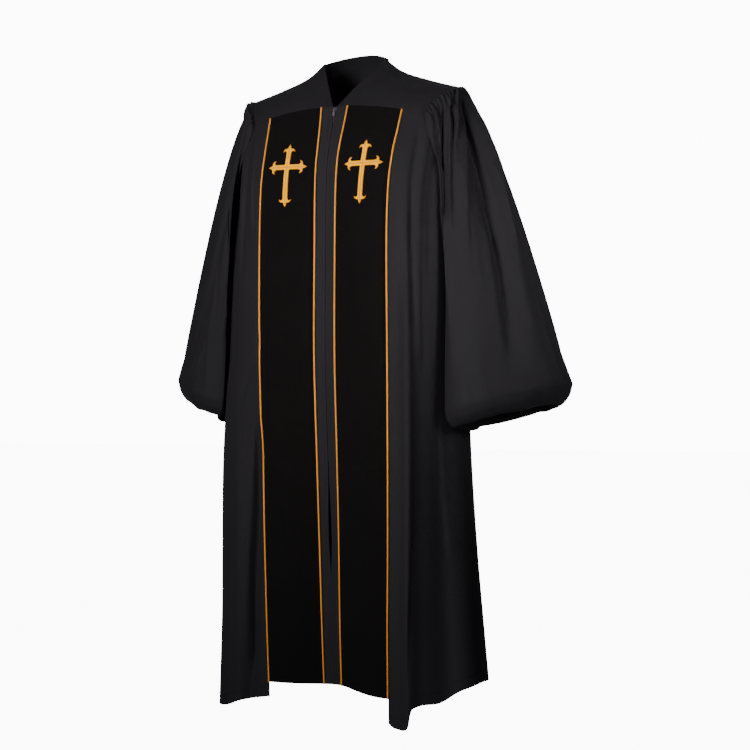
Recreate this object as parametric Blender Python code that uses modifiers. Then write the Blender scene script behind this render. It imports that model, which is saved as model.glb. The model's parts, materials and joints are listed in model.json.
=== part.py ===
"""Clergy robe, hollow and in the pose of a worn garment.

Metres, +Z up. The robe faces -Y and the wearer's left is +X. The origin is the
middle of the neck, level with the side-neck points, where the wearer holds it up.
Every piece of cloth is a wall lofted through sections that are worked out below.
"""

import functools
import math
from collections import namedtuple

import bmesh
import bpy
from mathutils import Matrix, Vector

# Driving dimensions
CLOTH = 0.0016
VELVET_CLOTH = 0.0020
TAPE_CLOTH = 0.0010
SEAM_GAP = 0.0003
CORNER_ARC = 0.1960
YOKE_SEAM_Z = -0.101
YOKE_SEAM_DROP = 0.026
UNDERARM_Z = -0.335
VELVET_HEM_Z = -1.266
VELVET_HEM_DROP = 0.017
ZIP_END_Z = -0.815
TAPE_TOP_DROP = 0.001
PIPING_RADIUS = 0.00165
SIDE_NECK_X = 0.072
BACK_NECK_Y = 0.056
BACK_NECK_Z = 0.021
SHOULDER_X = 0.238
FLUTE_HEIGHT = 0.0022
SLEEVE_CLEARANCE = 0.006
YOKE_BULGE = 0.012
FRONT_NECK_BULGE = 0.003
YOKE_NECK_SHARE = 0.30

# Centre-front slit below the zip: half widths, and where it opens and closes again
SLIT_GAP = 0.0008
SLIT_OPEN = 0.0026
SLIT_OPENS_Z = -0.84
SLIT_OPENING = 0.11
SLIT_CLOSED_Z = -1.06
SLIT_CLOSING = 0.10
SLIT_HEM_GAP = 0.0002

# Horizontal sections of the body: half widths to the wearer's left and right, depths to
# the front and back, and how far the middle of the front sits back
Section = namedtuple("Section", "z left right front back dip")
SECTIONS = (
    Section(-0.080, 0.236, 0.236, -0.080, 0.094, 0.000),
    Section(-0.130, 0.238, 0.239, -0.097, 0.110, 0.004),
    Section(-0.210, 0.241, 0.246, -0.128, 0.120, 0.012),
    Section(-0.270, 0.243, 0.252, -0.142, 0.122, 0.020),
    Section(-0.380, 0.245, 0.259, -0.148, 0.112, 0.024),
    Section(-0.600, 0.248, 0.270, -0.146, 0.092, 0.020),
    Section(-0.800, 0.256, 0.286, -0.138, 0.084, 0.023),
    Section(-1.000, 0.270, 0.294, -0.130, 0.086, 0.026),
    Section(-1.140, 0.283, 0.297, -0.126, 0.090, 0.028),
    Section(-1.270, 0.295, 0.304, -0.120, 0.094, 0.030),
    Section(-1.350, 0.300, 0.308, -0.118, 0.096, 0.030),
)
# Arcs of the two piped seams from centre front
Seam = namedtuple("Seam", "z inner outer")
SEAMS = (
    Seam(-0.100, 0.0300, 0.1510),
    Seam(-0.140, 0.0275, 0.1490),
    Seam(-0.200, 0.0245, 0.1465),
    Seam(-0.600, 0.0240, 0.1460),
    Seam(-0.900, 0.0235, 0.1435),
    Seam(-1.150, 0.0215, 0.1405),
    Seam(-1.350, 0.0205, 0.1385),
)
SQUARENESS = 3.0
DIP_WIDTH = 0.060
ARC_STEPS = 60
ARC_REACH = 0.002
NORMAL_REACH = 0.0025

# Long folds of the body: arc from centre front at the two ends, height out of the cloth
Fold = namedtuple("Fold", "side top_arc end_arc top_z full_z width height")
FOLD_END_Z = -1.30
BODY_FOLDS = (
    Fold(1, 0.187, 0.185, -0.30, -0.62, 0.0150, 0.013),
    Fold(1, 0.258, 0.262, -0.45, -0.95, 0.0450, -0.023),
    Fold(-1, 0.152, 0.194, -0.72, -1.00, 0.0120, -0.011),
    Fold(-1, 0.200, 0.224, -0.50, -1.05, 0.0200, 0.008),
    Fold(-1, 0.310, 0.330, -0.80, -1.20, 0.0240, -0.008),
)

# Hem heights of the plain cloth, by arc from centre front
Hem = namedtuple("Hem", "arc z")
LEFT_HEM = (
    Hem(0.138, -1.330),
    Hem(0.148, -1.339),
    Hem(0.162, -1.343),
    Hem(0.174, -1.343),
    Hem(0.184, -1.334),
    Hem(0.191, -1.301),
    Hem(0.245, -1.290),
    Hem(0.300, -1.264),
    Hem(0.360, -1.252),
    Hem(0.660, -1.262),
)
RIGHT_HEM = (
    Hem(0.145, -1.296),
    Hem(0.200, -1.306),
    Hem(0.262, -1.324),
    Hem(0.310, -1.324),
    Hem(0.380, -1.300),
    Hem(0.660, -1.264),
)

# Ridge of the shoulder from side neck to armhole
Ridge = namedtuple("Ridge", "x z")
SHOULDER = (
    Ridge(0.072, 0.000),
    Ridge(0.108, -0.026),
    Ridge(0.165, -0.047),
    Ridge(0.238, -0.068),
)

# Columns of the front side panel as shares of its width, close together at the folds
SIDE_SHARES = (0.0, 0.055, 0.12, 0.18, 0.22, 0.31, 0.45, 0.62, 0.81, 1.0)
ARM_ROWS = 8
BODY_ROWS = 13
BACK_COLUMNS = 16
BACK_FLUTES = 4
TOP_FLUTE_DEPTH = 0.005
HEM_FLUTE_DEPTH = 0.018
FLUTE_GROWTH = 1.0
FLUTE_START = 0.02
FLUTE_EDGE_SHARE = 1 / 3
VELVET_COLUMNS = 5
YOKE_ROWS = 6
YOKE_COLUMNS = 9
FLUTES_A_ROW = 2

# The sleeve: its widest ring, just above the hem, seen from above
SLEEVE_CENTRE_X = 0.331
SLEEVE_CENTRE_Y = 0.022
SLEEVE_LONG = 0.136
SLEEVE_SHORT = 0.093
SLEEVE_TURNED = math.radians(50)
SLEEVE_SQUARENESS = 2.2
LEFT_SLEEVE_HEM_Z = -0.693
RIGHT_SLEEVE_HEM_Z = -0.678
SLEEVE_HEM_SLOPE = 0.28
HEAD_TURN = math.radians(100)
UNDER_LEAVE = 0.07
LEFT_LEAVE = 0.16
RIGHT_LEAVE = 0.11
LEAVE_OUT = 0.25
LEAVE_DOWN = Vector((0, 0, -0.25))
SLEEVE_START_GAP = 0.0005
CLEAR_STATION = 0.12
GATHER_STATION = 0.022
SMOOTHING_STATION = 0.06
SMOOTHING_LENGTH = 0.22
TURN_ROOM = 0.4
FULL_STATIONS = (0.0, 0.025, 0.06, 0.105, 0.16, 0.22)
HALF_STATIONS = (0.30, 0.40, 0.50, 0.60, 0.70, 0.80, 0.90, 1.0)

# Turned-in hem of the sleeve below its widest ring: inset and drop of each ring
Turn = namedtuple("Turn", "inset drop")
SLEEVE_TURNS = (Turn(0.006, 0.020), Turn(0.020, 0.034), Turn(0.036, 0.026), Turn(0.040, 0.004))

# Long folds of the sleeve, by column from the front yoke corner
SleeveFold = namedtuple("SleeveFold", "side column end_column start end width height")
SLEEVE_FOLDS = (
    SleeveFold(-1, 4.0, 3.0, 0.10, 0.70, 2.0, 0.007),
    SleeveFold(-1, 8.5, 11.0, 0.06, 0.97, 2.2, -0.018),
    SleeveFold(-1, 17.0, 18.5, 0.10, 0.92, 2.4, 0.010),
    SleeveFold(-1, 21.5, 20.5, 0.30, 0.95, 2.0, -0.009),
    SleeveFold(1, 10.5, 8.5, 0.10, 0.88, 3.6, 0.008),
    SleeveFold(1, 20.5, 12.8, 0.10, 0.97, 2.0, -0.014),
    SleeveFold(1, 27.0, 17.5, 0.14, 0.95, 2.2, 0.007),
    SleeveFold(0, 31.0, 30.0, 0.12, 0.90, 2.6, 0.010),
    SleeveFold(0, 38.0, 37.0, 0.08, 0.96, 2.2, -0.016),
    SleeveFold(0, 44.0, 45.0, 0.12, 0.80, 2.0, 0.008),
)

# Embroidered cross, in the plane of the velvet
CROSS_ARC = 0.0870
CROSS_Z = -0.224
CROSS_UP = 0.0475
CROSS_DOWN = 0.0815
CROSS_SIDE = 0.0435
CROSS_BAR = 0.0052
CROSS_LIFT = 0.0005
CROSS_HEIGHT = 0.0016
BAR_STEP = 0.009
CROSS_CUT = 0.010
# One flank of an arm's end, from its point back to the bar
Flank = namedtuple("Flank", "across back")
ARM_END = (
    Flank(0.0034, 0.0062),
    Flank(0.0030, 0.0090),
    Flank(0.0078, 0.0088),
    Flank(0.0120, 0.0112),
    Flank(0.0139, 0.0170),
    Flank(0.0106, 0.0142),
    Flank(0.0074, 0.0138),
    Flank(0.0052, 0.0180),
)

# Zip slider and its pull, across, out of the cloth and along the zip
SLIDER_Z = -0.1095
SLIDER_WIDTH = 0.0070
SLIDER_DEPTH = 0.0022
SLIDER_LENGTH = 0.0090
SLIDER_RECESS = 0.0016
SLIDER_EDGE = 0.0006
SLIDER_NOTCH = 0.0053
NOTCH_LENGTH = 0.046
TAPE_ARCS = (0.0006, 0.0125)
TAPE_GAP = 0.0006
ARCH_WIDTH = 0.0014
ARCH_BAR = 0.0008
ARCH_ROOT = 0.0006
BAR_SHARE = 0.98
BAR_OUT = 0.0005
ARCH_LENGTH = 0.0062
PIN_LIFT = 0.0013
ARCH_REACH = 0.0034
PULL_WIDTH = 0.0048
PULL_LENGTH = 0.0130
PULL_THICKNESS = 0.0009
EYE_WIDTH = 0.0026
EYE_LENGTH = 0.0040
EYE_BAR = 0.0005


def clear_scene():
    for old in list(bpy.data.objects):
        bpy.data.objects.remove(old, do_unlink=True)


def mix(a, b, share):
    return a + (b - a) * share


def ease(share):
    share = min(max(share, 0.0), 1.0)
    return share * share * (3.0 - 2.0 * share)


def side_name(side):
    return "left" if side > 0 else "right"


def smooth_column(rows, key, column, at):
    """The value of a table's column, on a smooth curve through its rows."""
    keys = [getattr(row, key) for row in rows]
    values = [getattr(row, column) for row in rows]
    if keys[0] > keys[-1]:
        keys = [-k for k in keys]
        at = -at
    if at <= keys[0]:
        return values[0]
    if at >= keys[-1]:
        return values[-1]
    i = max(n for n, k in enumerate(keys[:-1]) if k <= at)
    step = keys[i + 1] - keys[i]

    def slope(n):
        low, high = max(n - 1, 0), min(n + 1, len(keys) - 1)
        return (values[high] - values[low]) / (keys[high] - keys[low])

    t = (at - keys[i]) / step
    hermite = (2 * t**3 - 3 * t**2 + 1, t**3 - 2 * t**2 + t, 3 * t**2 - 2 * t**3, t**3 - t**2)
    ends = (values[i], slope(i) * step, values[i + 1], slope(i + 1) * step)
    return sum(h * e for h, e in zip(hermite, ends))


@functools.lru_cache(maxsize=None)
def section(side, z):
    """Arc lengths and points of half a section, from centre front to centre back."""
    half_width = smooth_column(SECTIONS, "z", side_name(side), z)
    front = smooth_column(SECTIONS, "z", "front", z)
    back = smooth_column(SECTIONS, "z", "back", z)
    dip = smooth_column(SECTIONS, "z", "dip", z)
    points = []
    for reach in (front, back):
        quarter = []
        for step in range(ARC_STEPS + 1):
            t = step / ARC_STEPS
            near, far = t**1.5, (1 - t) ** 1.5
            angle = math.pi / 2 * near / (near + far)
            x = half_width * math.sin(angle) ** (2 / SQUARENESS)
            y = reach * max(math.cos(angle), 0.0) ** (2 / SQUARENESS)
            if reach == front:
                y += dip * math.exp(-((x / DIP_WIDTH) ** 2))
            quarter.append(Vector((x, y, z)))
        points += quarter if reach == front else quarter[-2::-1]
    arcs = [0.0]
    for a, b in zip(points, points[1:]):
        arcs.append(arcs[-1] + (b - a).length)
    return arcs, points


def side_arc(side, z):
    return section(side, z)[0][ARC_STEPS]


def back_arc(side, z):
    return section(side, z)[0][-1]


def inner_seam(z):
    return smooth_column(SEAMS, "z", "inner", z)


def outer_seam(z):
    return smooth_column(SEAMS, "z", "outer", z)


def plain_body(side, arc, z):
    """A point of the body without its folds, at this arc from centre front."""
    arcs, points = section(side, z)
    low, high = 0, len(arcs) - 1
    while high - low > 1:
        middle = (low + high) // 2
        low, high = (middle, high) if arcs[middle] <= arc else (low, middle)
    share = (arc - arcs[low]) / (arcs[high] - arcs[low])
    return points[low].lerp(points[high], share)


def fold_height(side, arc, z):
    height = 0.0
    for fold in BODY_FOLDS:
        if fold.side != side or z > fold.top_z:
            continue
        grown = ease((fold.top_z - z) / (fold.top_z - fold.full_z))
        run = min((fold.top_z - z) / (fold.top_z - FOLD_END_Z), 1.0)
        across = (arc - mix(fold.top_arc, fold.end_arc, run)) / fold.width
        height += fold.height * grown * math.exp(-(across**2))
    return height


@functools.lru_cache(maxsize=None)
def body(side, arc, z):
    """A point of the body's outer face; side is 1 on the wearer's left, -1 on the right."""
    ahead = plain_body(side, arc + ARC_REACH, z)
    behind = plain_body(side, arc - ARC_REACH, z)
    along = (ahead - behind).normalized()
    outward = Vector((along.y, -along.x, 0.0))
    point = plain_body(side, arc, z) + outward * fold_height(side, arc, z)
    return Vector((side * point.x, point.y, point.z))


@functools.lru_cache(maxsize=None)
def body_normal(side, arc, z):
    low = max(arc - NORMAL_REACH, NORMAL_REACH / 5)
    high = min(arc + NORMAL_REACH, back_arc(side, z) - NORMAL_REACH / 25)
    along = body(side, high, z) - body(side, low, z)
    down = body(side, arc, z - NORMAL_REACH) - body(side, arc, z + NORMAL_REACH)
    return (down.cross(along) * side).normalized()


def seam_z(arc):
    return YOKE_SEAM_Z - YOKE_SEAM_DROP * (min(arc, CORNER_ARC) / CORNER_ARC) ** 2


BACK_SEAM_Z = seam_z(CORNER_ARC)


def hem_z(side, arc):
    return smooth_column(LEFT_HEM if side > 0 else RIGHT_HEM, "arc", "z", arc)


def velvet_hem_z(side, arc):
    """The hem of the velvet and its placket; on the wearer's left it drops outwards."""
    drop = VELVET_HEM_DROP * ease(arc / outer_seam(VELVET_HEM_Z)) if side > 0 else 0.0
    return VELVET_HEM_Z - drop


def moved(point, normal, height):
    return point + normal * height


Spot = namedtuple("Spot", "point normal")


def body_spot(side, arc, z):
    return Spot(body(side, arc, z), body_normal(side, arc, z))


def row_z(arc, row, bottom, top=None):
    """Height of a row: the first ARM_ROWS reach the underarm, the rest reach the hem."""
    top = seam_z(arc) - SEAM_GAP / 2 if top is None else top
    if row <= ARM_ROWS:
        return mix(top, UNDERARM_Z, math.sin(math.pi / 2 * row / ARM_ROWS))
    return mix(UNDERARM_Z, bottom, (row - ARM_ROWS) / BODY_ROWS)


def armhole_share(row):
    """How far the armhole's edge has moved from the yoke's corner to the side seam."""
    return math.sqrt(1.0 - math.cos(math.pi / 2 * min(row, ARM_ROWS) / ARM_ROWS))


def front_armhole_arc(side, row, z):
    return mix(CORNER_ARC, side_arc(side, z), armhole_share(row)) - SEAM_GAP / 2


def back_armhole_arc(side, row, z):
    start = back_arc(side, z) - CORNER_ARC
    return mix(start, side_arc(side, z), armhole_share(row)) + SEAM_GAP / 2


# Walls


def link(piece, colour, roughness, metallic=0.0):
    material = bpy.data.materials.new(piece.name + "_material")
    material.use_nodes = True
    shader = material.node_tree.nodes["Principled BSDF"]
    shader.inputs["Base Color"].default_value = (*colour, 1.0)
    shader.inputs["Roughness"].default_value = roughness
    shader.inputs["Metallic"].default_value = metallic
    material.diffuse_color = (*colour, 1.0)
    piece.data.materials.append(material)
    bpy.data.collections["clergy_robe"].objects.link(piece)
    return piece


def bridge(mesh, upper, lower, closed, flip):
    """Faces between two rows of vertices; a lower row may have half the points."""
    count = len(upper) if closed else len(upper) - 1
    halved = len(lower) < len(upper)
    for i in range(0, count, 2 if halved else 1):
        j = i // 2 if halved else i
        a, b = upper[i], upper[(i + 1) % len(upper)]
        d, c = lower[j], lower[(j + 1) % len(lower)]
        faces = [(a, d, c, b)]
        if halved:
            e = upper[(i + 2) % len(upper)]
            faces = [(a, d, b), (b, d, c), (b, c, e)]
        for face in faces:
            mesh.faces.new(face[::-1] if flip else face)


def cloth_wall(name, rows, thickness, closed, flip, inner=None):
    """A closed wall over rows of spots, with its inner face this far inside them."""
    mesh = bmesh.new()
    outside, inside = [], []
    for n, row in enumerate(rows):
        outside.append([mesh.verts.new(spot.point) for spot in row])
        if inner and n in inner:
            deep = [spot.point + way * thickness for spot, way in zip(row, inner[n])]
        else:
            deep = [moved(spot.point, spot.normal, -thickness) for spot in row]
        inside.append([mesh.verts.new(point) for point in deep])
    for upper, lower in zip(outside, outside[1:]):
        bridge(mesh, upper, lower, closed, flip)
    for upper, lower in zip(inside, inside[1:]):
        bridge(mesh, upper, lower, closed, not flip)
    bridge(mesh, inside[0], outside[0], closed, flip)
    bridge(mesh, outside[-1], inside[-1], closed, flip)
    if not closed:
        for at, turned in ((0, flip), (-1, not flip)):
            edge = [row[at] for row in outside]
            deep = [row[at] for row in inside]
            bridge(mesh, edge, deep, False, turned)
    data = bpy.data.meshes.new(name)
    mesh.to_mesh(data)
    mesh.free()
    piece = bpy.data.objects.new(name, data)
    return piece


PLAIN = ((0.012, 0.011, 0.013), 0.62)
VELVET = ((0.003, 0.003, 0.003), 0.95)
GOLD = ((0.80, 0.36, 0.05), 0.5)
ZIP_TAPE = ((0.010, 0.010, 0.011), 0.8)
ZIP_METAL = ((0.45, 0.45, 0.46), 0.35, 1.0)


# Fronts


def front_spot(side, row, arc):
    """A spot of the velvet or its placket, whose rows end at their own hem."""
    return body_spot(side, arc, row_z(arc, row, velvet_hem_z(side, arc)))


def slit_arc(z):
    """Half the width of the centre-front slit: a notch for the slider, closed, then open."""
    notch = SLIDER_NOTCH * (1.0 - (YOKE_SEAM_Z - z) / NOTCH_LENGTH)
    opened = ease((SLIT_OPENS_Z - z) / SLIT_OPENING) * ease((z - SLIT_CLOSED_Z) / SLIT_CLOSING)
    closing = ease((SLIT_CLOSED_Z + SLIT_CLOSING - z) / SLIT_CLOSING)
    return max(notch, mix(SLIT_GAP, SLIT_HEM_GAP, closing) + SLIT_OPEN * opened)


def placket(side):
    rows = []
    for row in range(ARM_ROWS + BODY_ROWS + 1):
        z = row_z(0.0, row, VELVET_HEM_Z)
        start, end = slit_arc(z), inner_seam(z) - SEAM_GAP / 2
        rows.append([front_spot(side, row, arc) for arc in (start, mix(start, end, 0.5), end)])
    return link(cloth_wall(f"placket_{side_name(side)}", rows, CLOTH, False, side < 0), *PLAIN)


def velvet_arcs(z):
    first, last = inner_seam(z) + SEAM_GAP / 2, outer_seam(z) - SEAM_GAP / 2
    return [mix(first, last, n / VELVET_COLUMNS) for n in range(VELVET_COLUMNS + 1)]


@functools.lru_cache(maxsize=None)
def velvet_row(side, row):
    z = row_z(0.0, row, VELVET_HEM_Z)
    return [front_spot(side, row, arc) for arc in velvet_arcs(z)]


def velvet_panel(side):
    rows = [velvet_row(side, row) for row in range(ARM_ROWS + BODY_ROWS + 1)]
    name = f"velvet_panel_{side_name(side)}"
    return link(cloth_wall(name, rows, VELVET_CLOTH, False, side < 0), *VELVET)


def front_side(side):
    rows = []
    for row in range(ARM_ROWS + BODY_ROWS + 1):
        spots = []
        for share in SIDE_SHARES:
            top_arc = mix(outer_seam(YOKE_SEAM_Z), CORNER_ARC, share)
            hem_arc = mix(outer_seam(VELVET_HEM_Z), side_arc(side, VELVET_HEM_Z), share)
            z = row_z(top_arc, row, hem_z(side, hem_arc))
            start = outer_seam(row_z(0.0, row, VELVET_HEM_Z)) + SEAM_GAP / 2
            end = side_arc(side, z) - SEAM_GAP / 2
            if row < ARM_ROWS:
                end = front_armhole_arc(side, row, z)
            spots.append(body_spot(side, mix(start, end, share), z))
        rows.append(spots)
    return link(cloth_wall(f"front_side_{side_name(side)}", rows, CLOTH, False, side < 0), *PLAIN)


# Back


def back_flute(share, z):
    """How far the back's cloth lies in behind the ridges of its flutes."""
    wave = 0.5 - 0.5 * math.cos(2 * math.pi * BACK_FLUTES * share)
    depth = mix(TOP_FLUTE_DEPTH, HEM_FLUTE_DEPTH, ease((BACK_SEAM_Z - z) / FLUTE_GROWTH))
    return wave * depth * ease(share / FLUTE_EDGE_SHARE) * ease((BACK_SEAM_Z - z) / FLUTE_START)


def back_side_spots(side, row):
    """Spots from the armhole or side seam to centre back."""
    spots = []
    for step in range(BACK_COLUMNS + 1):
        share = step / BACK_COLUMNS
        hem_arc = mix(side_arc(side, VELVET_HEM_Z), back_arc(side, VELVET_HEM_Z), share)
        z = row_z(0.0, row, hem_z(side, hem_arc), BACK_SEAM_Z - SEAM_GAP / 2)
        edge = side_arc(side, z) + SEAM_GAP / 2
        arc = mix(edge, back_arc(side, z), share)
        if row < ARM_ROWS:
            arc += (back_armhole_arc(side, row, z) - edge) * (1.0 - share) ** 2
        spot = body_spot(side, arc, z)
        inward = moved(spot.point, spot.normal, -back_flute(share, z))
        spots.append(Spot(inward, spot.normal))
    return spots


def back_row(row):
    right = back_side_spots(-1, row)
    left = back_side_spots(1, row)
    return right[:-1] + left[::-1]


def back_body():
    rows = [back_row(row) for row in range(ARM_ROWS + BODY_ROWS + 1)]
    return link(cloth_wall("back_body", rows, CLOTH, False, True), *PLAIN)


# Yokes


def ridge_point(x):
    return Vector((x, 0.0, smooth_column(SHOULDER, "x", "z", x)))


def yoke_spots(lower, upper, bulge, lower_normals, upper_normals, outer_away):
    """Rows of spots from the lower seam up to the top edge, bulging out between them."""
    rows = []
    for row in range(YOKE_ROWS + 1):
        share = row / YOKE_ROWS
        line = []
        for low, high, out in zip(lower, upper, bulge):
            point = low.lerp(high, share) + out * 4.0 * share * (1.0 - share)
            line.append(point)
        rows.append(line)
    spots = []
    for r, line in enumerate(rows):
        made = []
        for c, point in enumerate(line):
            along = line[min(c + 1, len(line) - 1)] - line[max(c - 1, 0)]
            up = rows[min(r + 1, YOKE_ROWS)][c] - rows[max(r - 1, 0)][c]
            normal = along.cross(up).normalized() * outer_away
            if r == 0:
                normal = lower_normals[c]
            elif r == YOKE_ROWS and upper_normals[c]:
                normal = upper_normals[c]
            made.append(Spot(point, normal))
        spots.append(made)
    return spots


RIDGE_NORMAL_TILT = 0.28
FRONT_BULGE_WAY = Vector((0.0, -0.6, 0.8))
BACK_BULGE_WAY = Vector((0.0, 0.6, 0.8))


def ridge_normal(side):
    return Vector((side * RIDGE_NORMAL_TILT, 0.0, 1.0)).normalized()


@functools.lru_cache(maxsize=None)
def front_yoke_rows(side):
    lower, upper, bulge, lower_normals = [], [], [], []
    for column in range(YOKE_COLUMNS + 1):
        share = column / YOKE_COLUMNS
        arc = mix(SLIDER_NOTCH, CORNER_ARC - SEAM_GAP / 2, share)
        z = seam_z(arc) + SEAM_GAP / 2
        lower.append(body(side, arc, z))
        lower_normals.append(body_normal(side, arc, z))
        top = ridge_point(mix(SIDE_NECK_X, SHOULDER_X - SEAM_GAP / 2, share))
        upper.append(Vector((side * top.x, -SEAM_GAP / 2, top.z)))
        bulge.append(FRONT_BULGE_WAY * mix(FRONT_NECK_BULGE, YOKE_BULGE, ease(share * 2.0)))
    upper_normals = [ridge_normal(side)] * len(lower)
    return yoke_spots(lower, upper, bulge, lower_normals, upper_normals, side)


def front_yoke(side):
    rows = front_yoke_rows(side)
    return link(cloth_wall(f"front_yoke_{side_name(side)}", rows, CLOTH, False, side > 0), *PLAIN)


NECK_STEPS = 4
BACK_YOKE_SHOULDER = 7


@functools.lru_cache(maxsize=None)
def back_yoke_rows():
    """From the wearer's right to the left, lower seam to shoulder ridge and neck."""
    lower, upper, bulge, lower_normals, upper_normals = [], [], [], [], []
    columns = [(s / BACK_YOKE_SHOULDER, None) for s in range(BACK_YOKE_SHOULDER, 0, -1)]
    columns += [(0.0, n / NECK_STEPS) for n in range(NECK_STEPS + 1)]
    half = [(side, *column) for side in (-1, 1) for column in columns]
    right, left = half[: len(columns)], half[len(columns) :]
    for side, shoulder, neck in right + left[-2::-1]:
        if neck is None:
            top = ridge_point(mix(SIDE_NECK_X, SHOULDER_X - SEAM_GAP / 2, shoulder))
            upper.append(Vector((side * top.x, SEAM_GAP / 2, top.z)))
            upper_normals.append(ridge_normal(side))
            across = mix(YOKE_NECK_SHARE, 1.0, shoulder)
        else:
            angle = math.pi / 2 * neck
            reach = BACK_NECK_Y * math.sin(angle) + SEAM_GAP / 2
            rise = BACK_NECK_Z * math.sin(angle) ** 2
            top = Vector((SIDE_NECK_X * math.cos(angle), reach, rise))
            upper.append(Vector((side * top.x, top.y, top.z)))
            upper_normals.append(ridge_normal(side) if neck == 0 else None)
            across = YOKE_NECK_SHARE * (1.0 - neck)
        z = BACK_SEAM_Z + SEAM_GAP / 2
        arc = back_arc(side, z) - across * (CORNER_ARC - SEAM_GAP / 2)
        lower.append(body(side, arc, z))
        lower_normals.append(body_normal(side, arc, z))
        bulge.append(BACK_BULGE_WAY * YOKE_BULGE)
    return yoke_spots(lower, upper, bulge, lower_normals, upper_normals, -1)


def back_yoke():
    return link(cloth_wall("back_yoke", back_yoke_rows(), CLOTH, False, False), *PLAIN)


def mirrored(spots, side):
    flip = Matrix.Scale(side, 3, Vector((1, 0, 0)))
    return [Spot(flip @ s.point, flip @ s.normal) for s in spots]


# Sleeves


@functools.lru_cache(maxsize=None)
def armhole(side):
    """Spots round an armhole: up the front yoke, down the back, under and up."""
    spots = [row[-1] for row in front_yoke_rows(side)]
    back_edge = -1 if side > 0 else 0
    spots += [row[back_edge] for row in back_yoke_rows()][-2::-1]
    back = [back_side_spots(side, row)[0] for row in range(ARM_ROWS)]
    under = body_spot(side, side_arc(side, UNDERARM_Z), UNDERARM_Z)
    front = []
    for row in range(ARM_ROWS):
        z = row_z(CORNER_ARC, row, 0.0)
        front.append(body_spot(side, front_armhole_arc(side, row, z), z))
    return mirrored(spots + back[1:] + [under] + front[:0:-1], side)


@functools.lru_cache(maxsize=None)
def armhole_frame(side):
    """Each spot of the armhole with the way across the seam, into the sleeve."""
    spots = armhole(side)
    framed = []
    for i, spot in enumerate(spots):
        along = spots[(i + 1) % len(spots)].point - spots[i - 1].point
        across = along.cross(spot.normal).normalized()
        framed.append((spot, across))
    return framed


def sleeve_start(side, column):
    """Point, cloth normal and way across the seam at a column of the gathers."""
    framed = armhole_frame(side)
    yoke_segments = 2 * YOKE_ROWS
    split = 2 * FLUTES_A_ROW
    head = yoke_segments * split
    if column < head:
        i, share = column // split, (column % split) / split
    else:
        i, share = yoke_segments + column - head, 0.0
    (first, way), (second, next_way) = framed[i], framed[(i + 1) % len(framed)]
    point = first.point.lerp(second.point, share)
    normal = first.normal.lerp(second.normal, share).normalized()
    return point, normal, way.lerp(next_way, share).normalized()


HEAD_COLUMNS = 2 * YOKE_ROWS * 2 * FLUTES_A_ROW
SLEEVE_COLUMNS = HEAD_COLUMNS + 2 * ARM_ROWS


def sleeve_angle(column):
    if column <= HEAD_COLUMNS:
        return mix(-HEAD_TURN, HEAD_TURN, column / HEAD_COLUMNS)
    under = (column - HEAD_COLUMNS) / (SLEEVE_COLUMNS - HEAD_COLUMNS)
    return mix(HEAD_TURN, 2 * math.pi - HEAD_TURN, under)


def sleeve_end(side, column, inset=0.0, drop=0.0):
    """The widest ring of the sleeve, or a ring of the turned-in hem below it."""
    angle = sleeve_angle(column) - SLEEVE_TURNED
    power = 2 / SLEEVE_SQUARENESS
    cos, sin = math.cos(angle), math.sin(angle)
    long_way = math.copysign(abs(cos) ** power, cos) * (SLEEVE_LONG - inset)
    short_way = math.copysign(abs(sin) ** power, sin) * (SLEEVE_SHORT - inset)
    cos, sin = math.cos(SLEEVE_TURNED), math.sin(SLEEVE_TURNED)
    x = long_way * cos - short_way * sin
    y = long_way * sin + short_way * cos
    hem_z = LEFT_SLEEVE_HEM_Z if side > 0 else RIGHT_SLEEVE_HEM_Z
    z = hem_z + SLEEVE_HEM_SLOPE * x - drop
    return Vector((SLEEVE_CENTRE_X + x, SLEEVE_CENTRE_Y + y, z))


def clear_of_body(side, point, clearance):
    """Moves a point of the sleeve out, level, until it is this far from the body."""
    half_width = smooth_column(SECTIONS, "z", side_name(side), point.z) + clearance
    column = "front" if point.y < 0 else "back"
    reach = abs(smooth_column(SECTIONS, "z", column, point.z)) + clearance
    inside = (abs(point.x) / half_width) ** SQUARENESS + (abs(point.y) / reach) ** SQUARENESS
    if inside >= 1.0 or clearance <= 0:
        return point
    grown = inside ** (-1 / SQUARENESS)
    return Vector((point.x * grown, point.y * grown, point.z))


def sleeve_fold(side, column, station):
    height = 0.0
    for fold in SLEEVE_FOLDS:
        if fold.side == -side or not fold.start < station:
            continue
        run = (station - fold.start) / (fold.end - fold.start)
        grown = math.sin(math.pi * min(run, 1.0)) ** 0.7 if run < 1 else 0.0
        centre = mix(fold.column, fold.end_column, run)
        height += fold.height * grown * math.exp(-(((column - centre) / fold.width) ** 2))
    return height


def sleeve_point(side, column, station):
    """A point of a sleeve at a share of its length, drawn at the left, before its folds."""
    start, normal, way = sleeve_start(side, column)
    under = max(0.0, -way.dot(Vector((0, 0, -1))))
    start = start + way * SLEEVE_START_GAP + normal * SLEEVE_START_GAP
    leave = (way * (1.0 - under) + normal * (LEAVE_OUT + under) + LEAVE_DOWN).normalized()
    end = sleeve_end(side, column)
    t = station
    outer = max(0.0, math.cos(sleeve_angle(column)))
    first = leave * mix(UNDER_LEAVE, LEFT_LEAVE if side > 0 else RIGHT_LEAVE, outer)
    last = end - start
    point = start * (2 * t**3 - 3 * t**2 + 1) + first * (t**3 - 2 * t**2 + t)
    point += end * (3 * t**2 - 2 * t**3) + last * (t**3 - t**2)
    return clear_of_body(side, point, SLEEVE_CLEARANCE * ease(station / CLEAR_STATION))


def flute_share(station):
    smoothed = ease((station - SMOOTHING_STATION) / SMOOTHING_LENGTH)
    return ease(station / GATHER_STATION) * (1.0 - smoothed)


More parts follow.
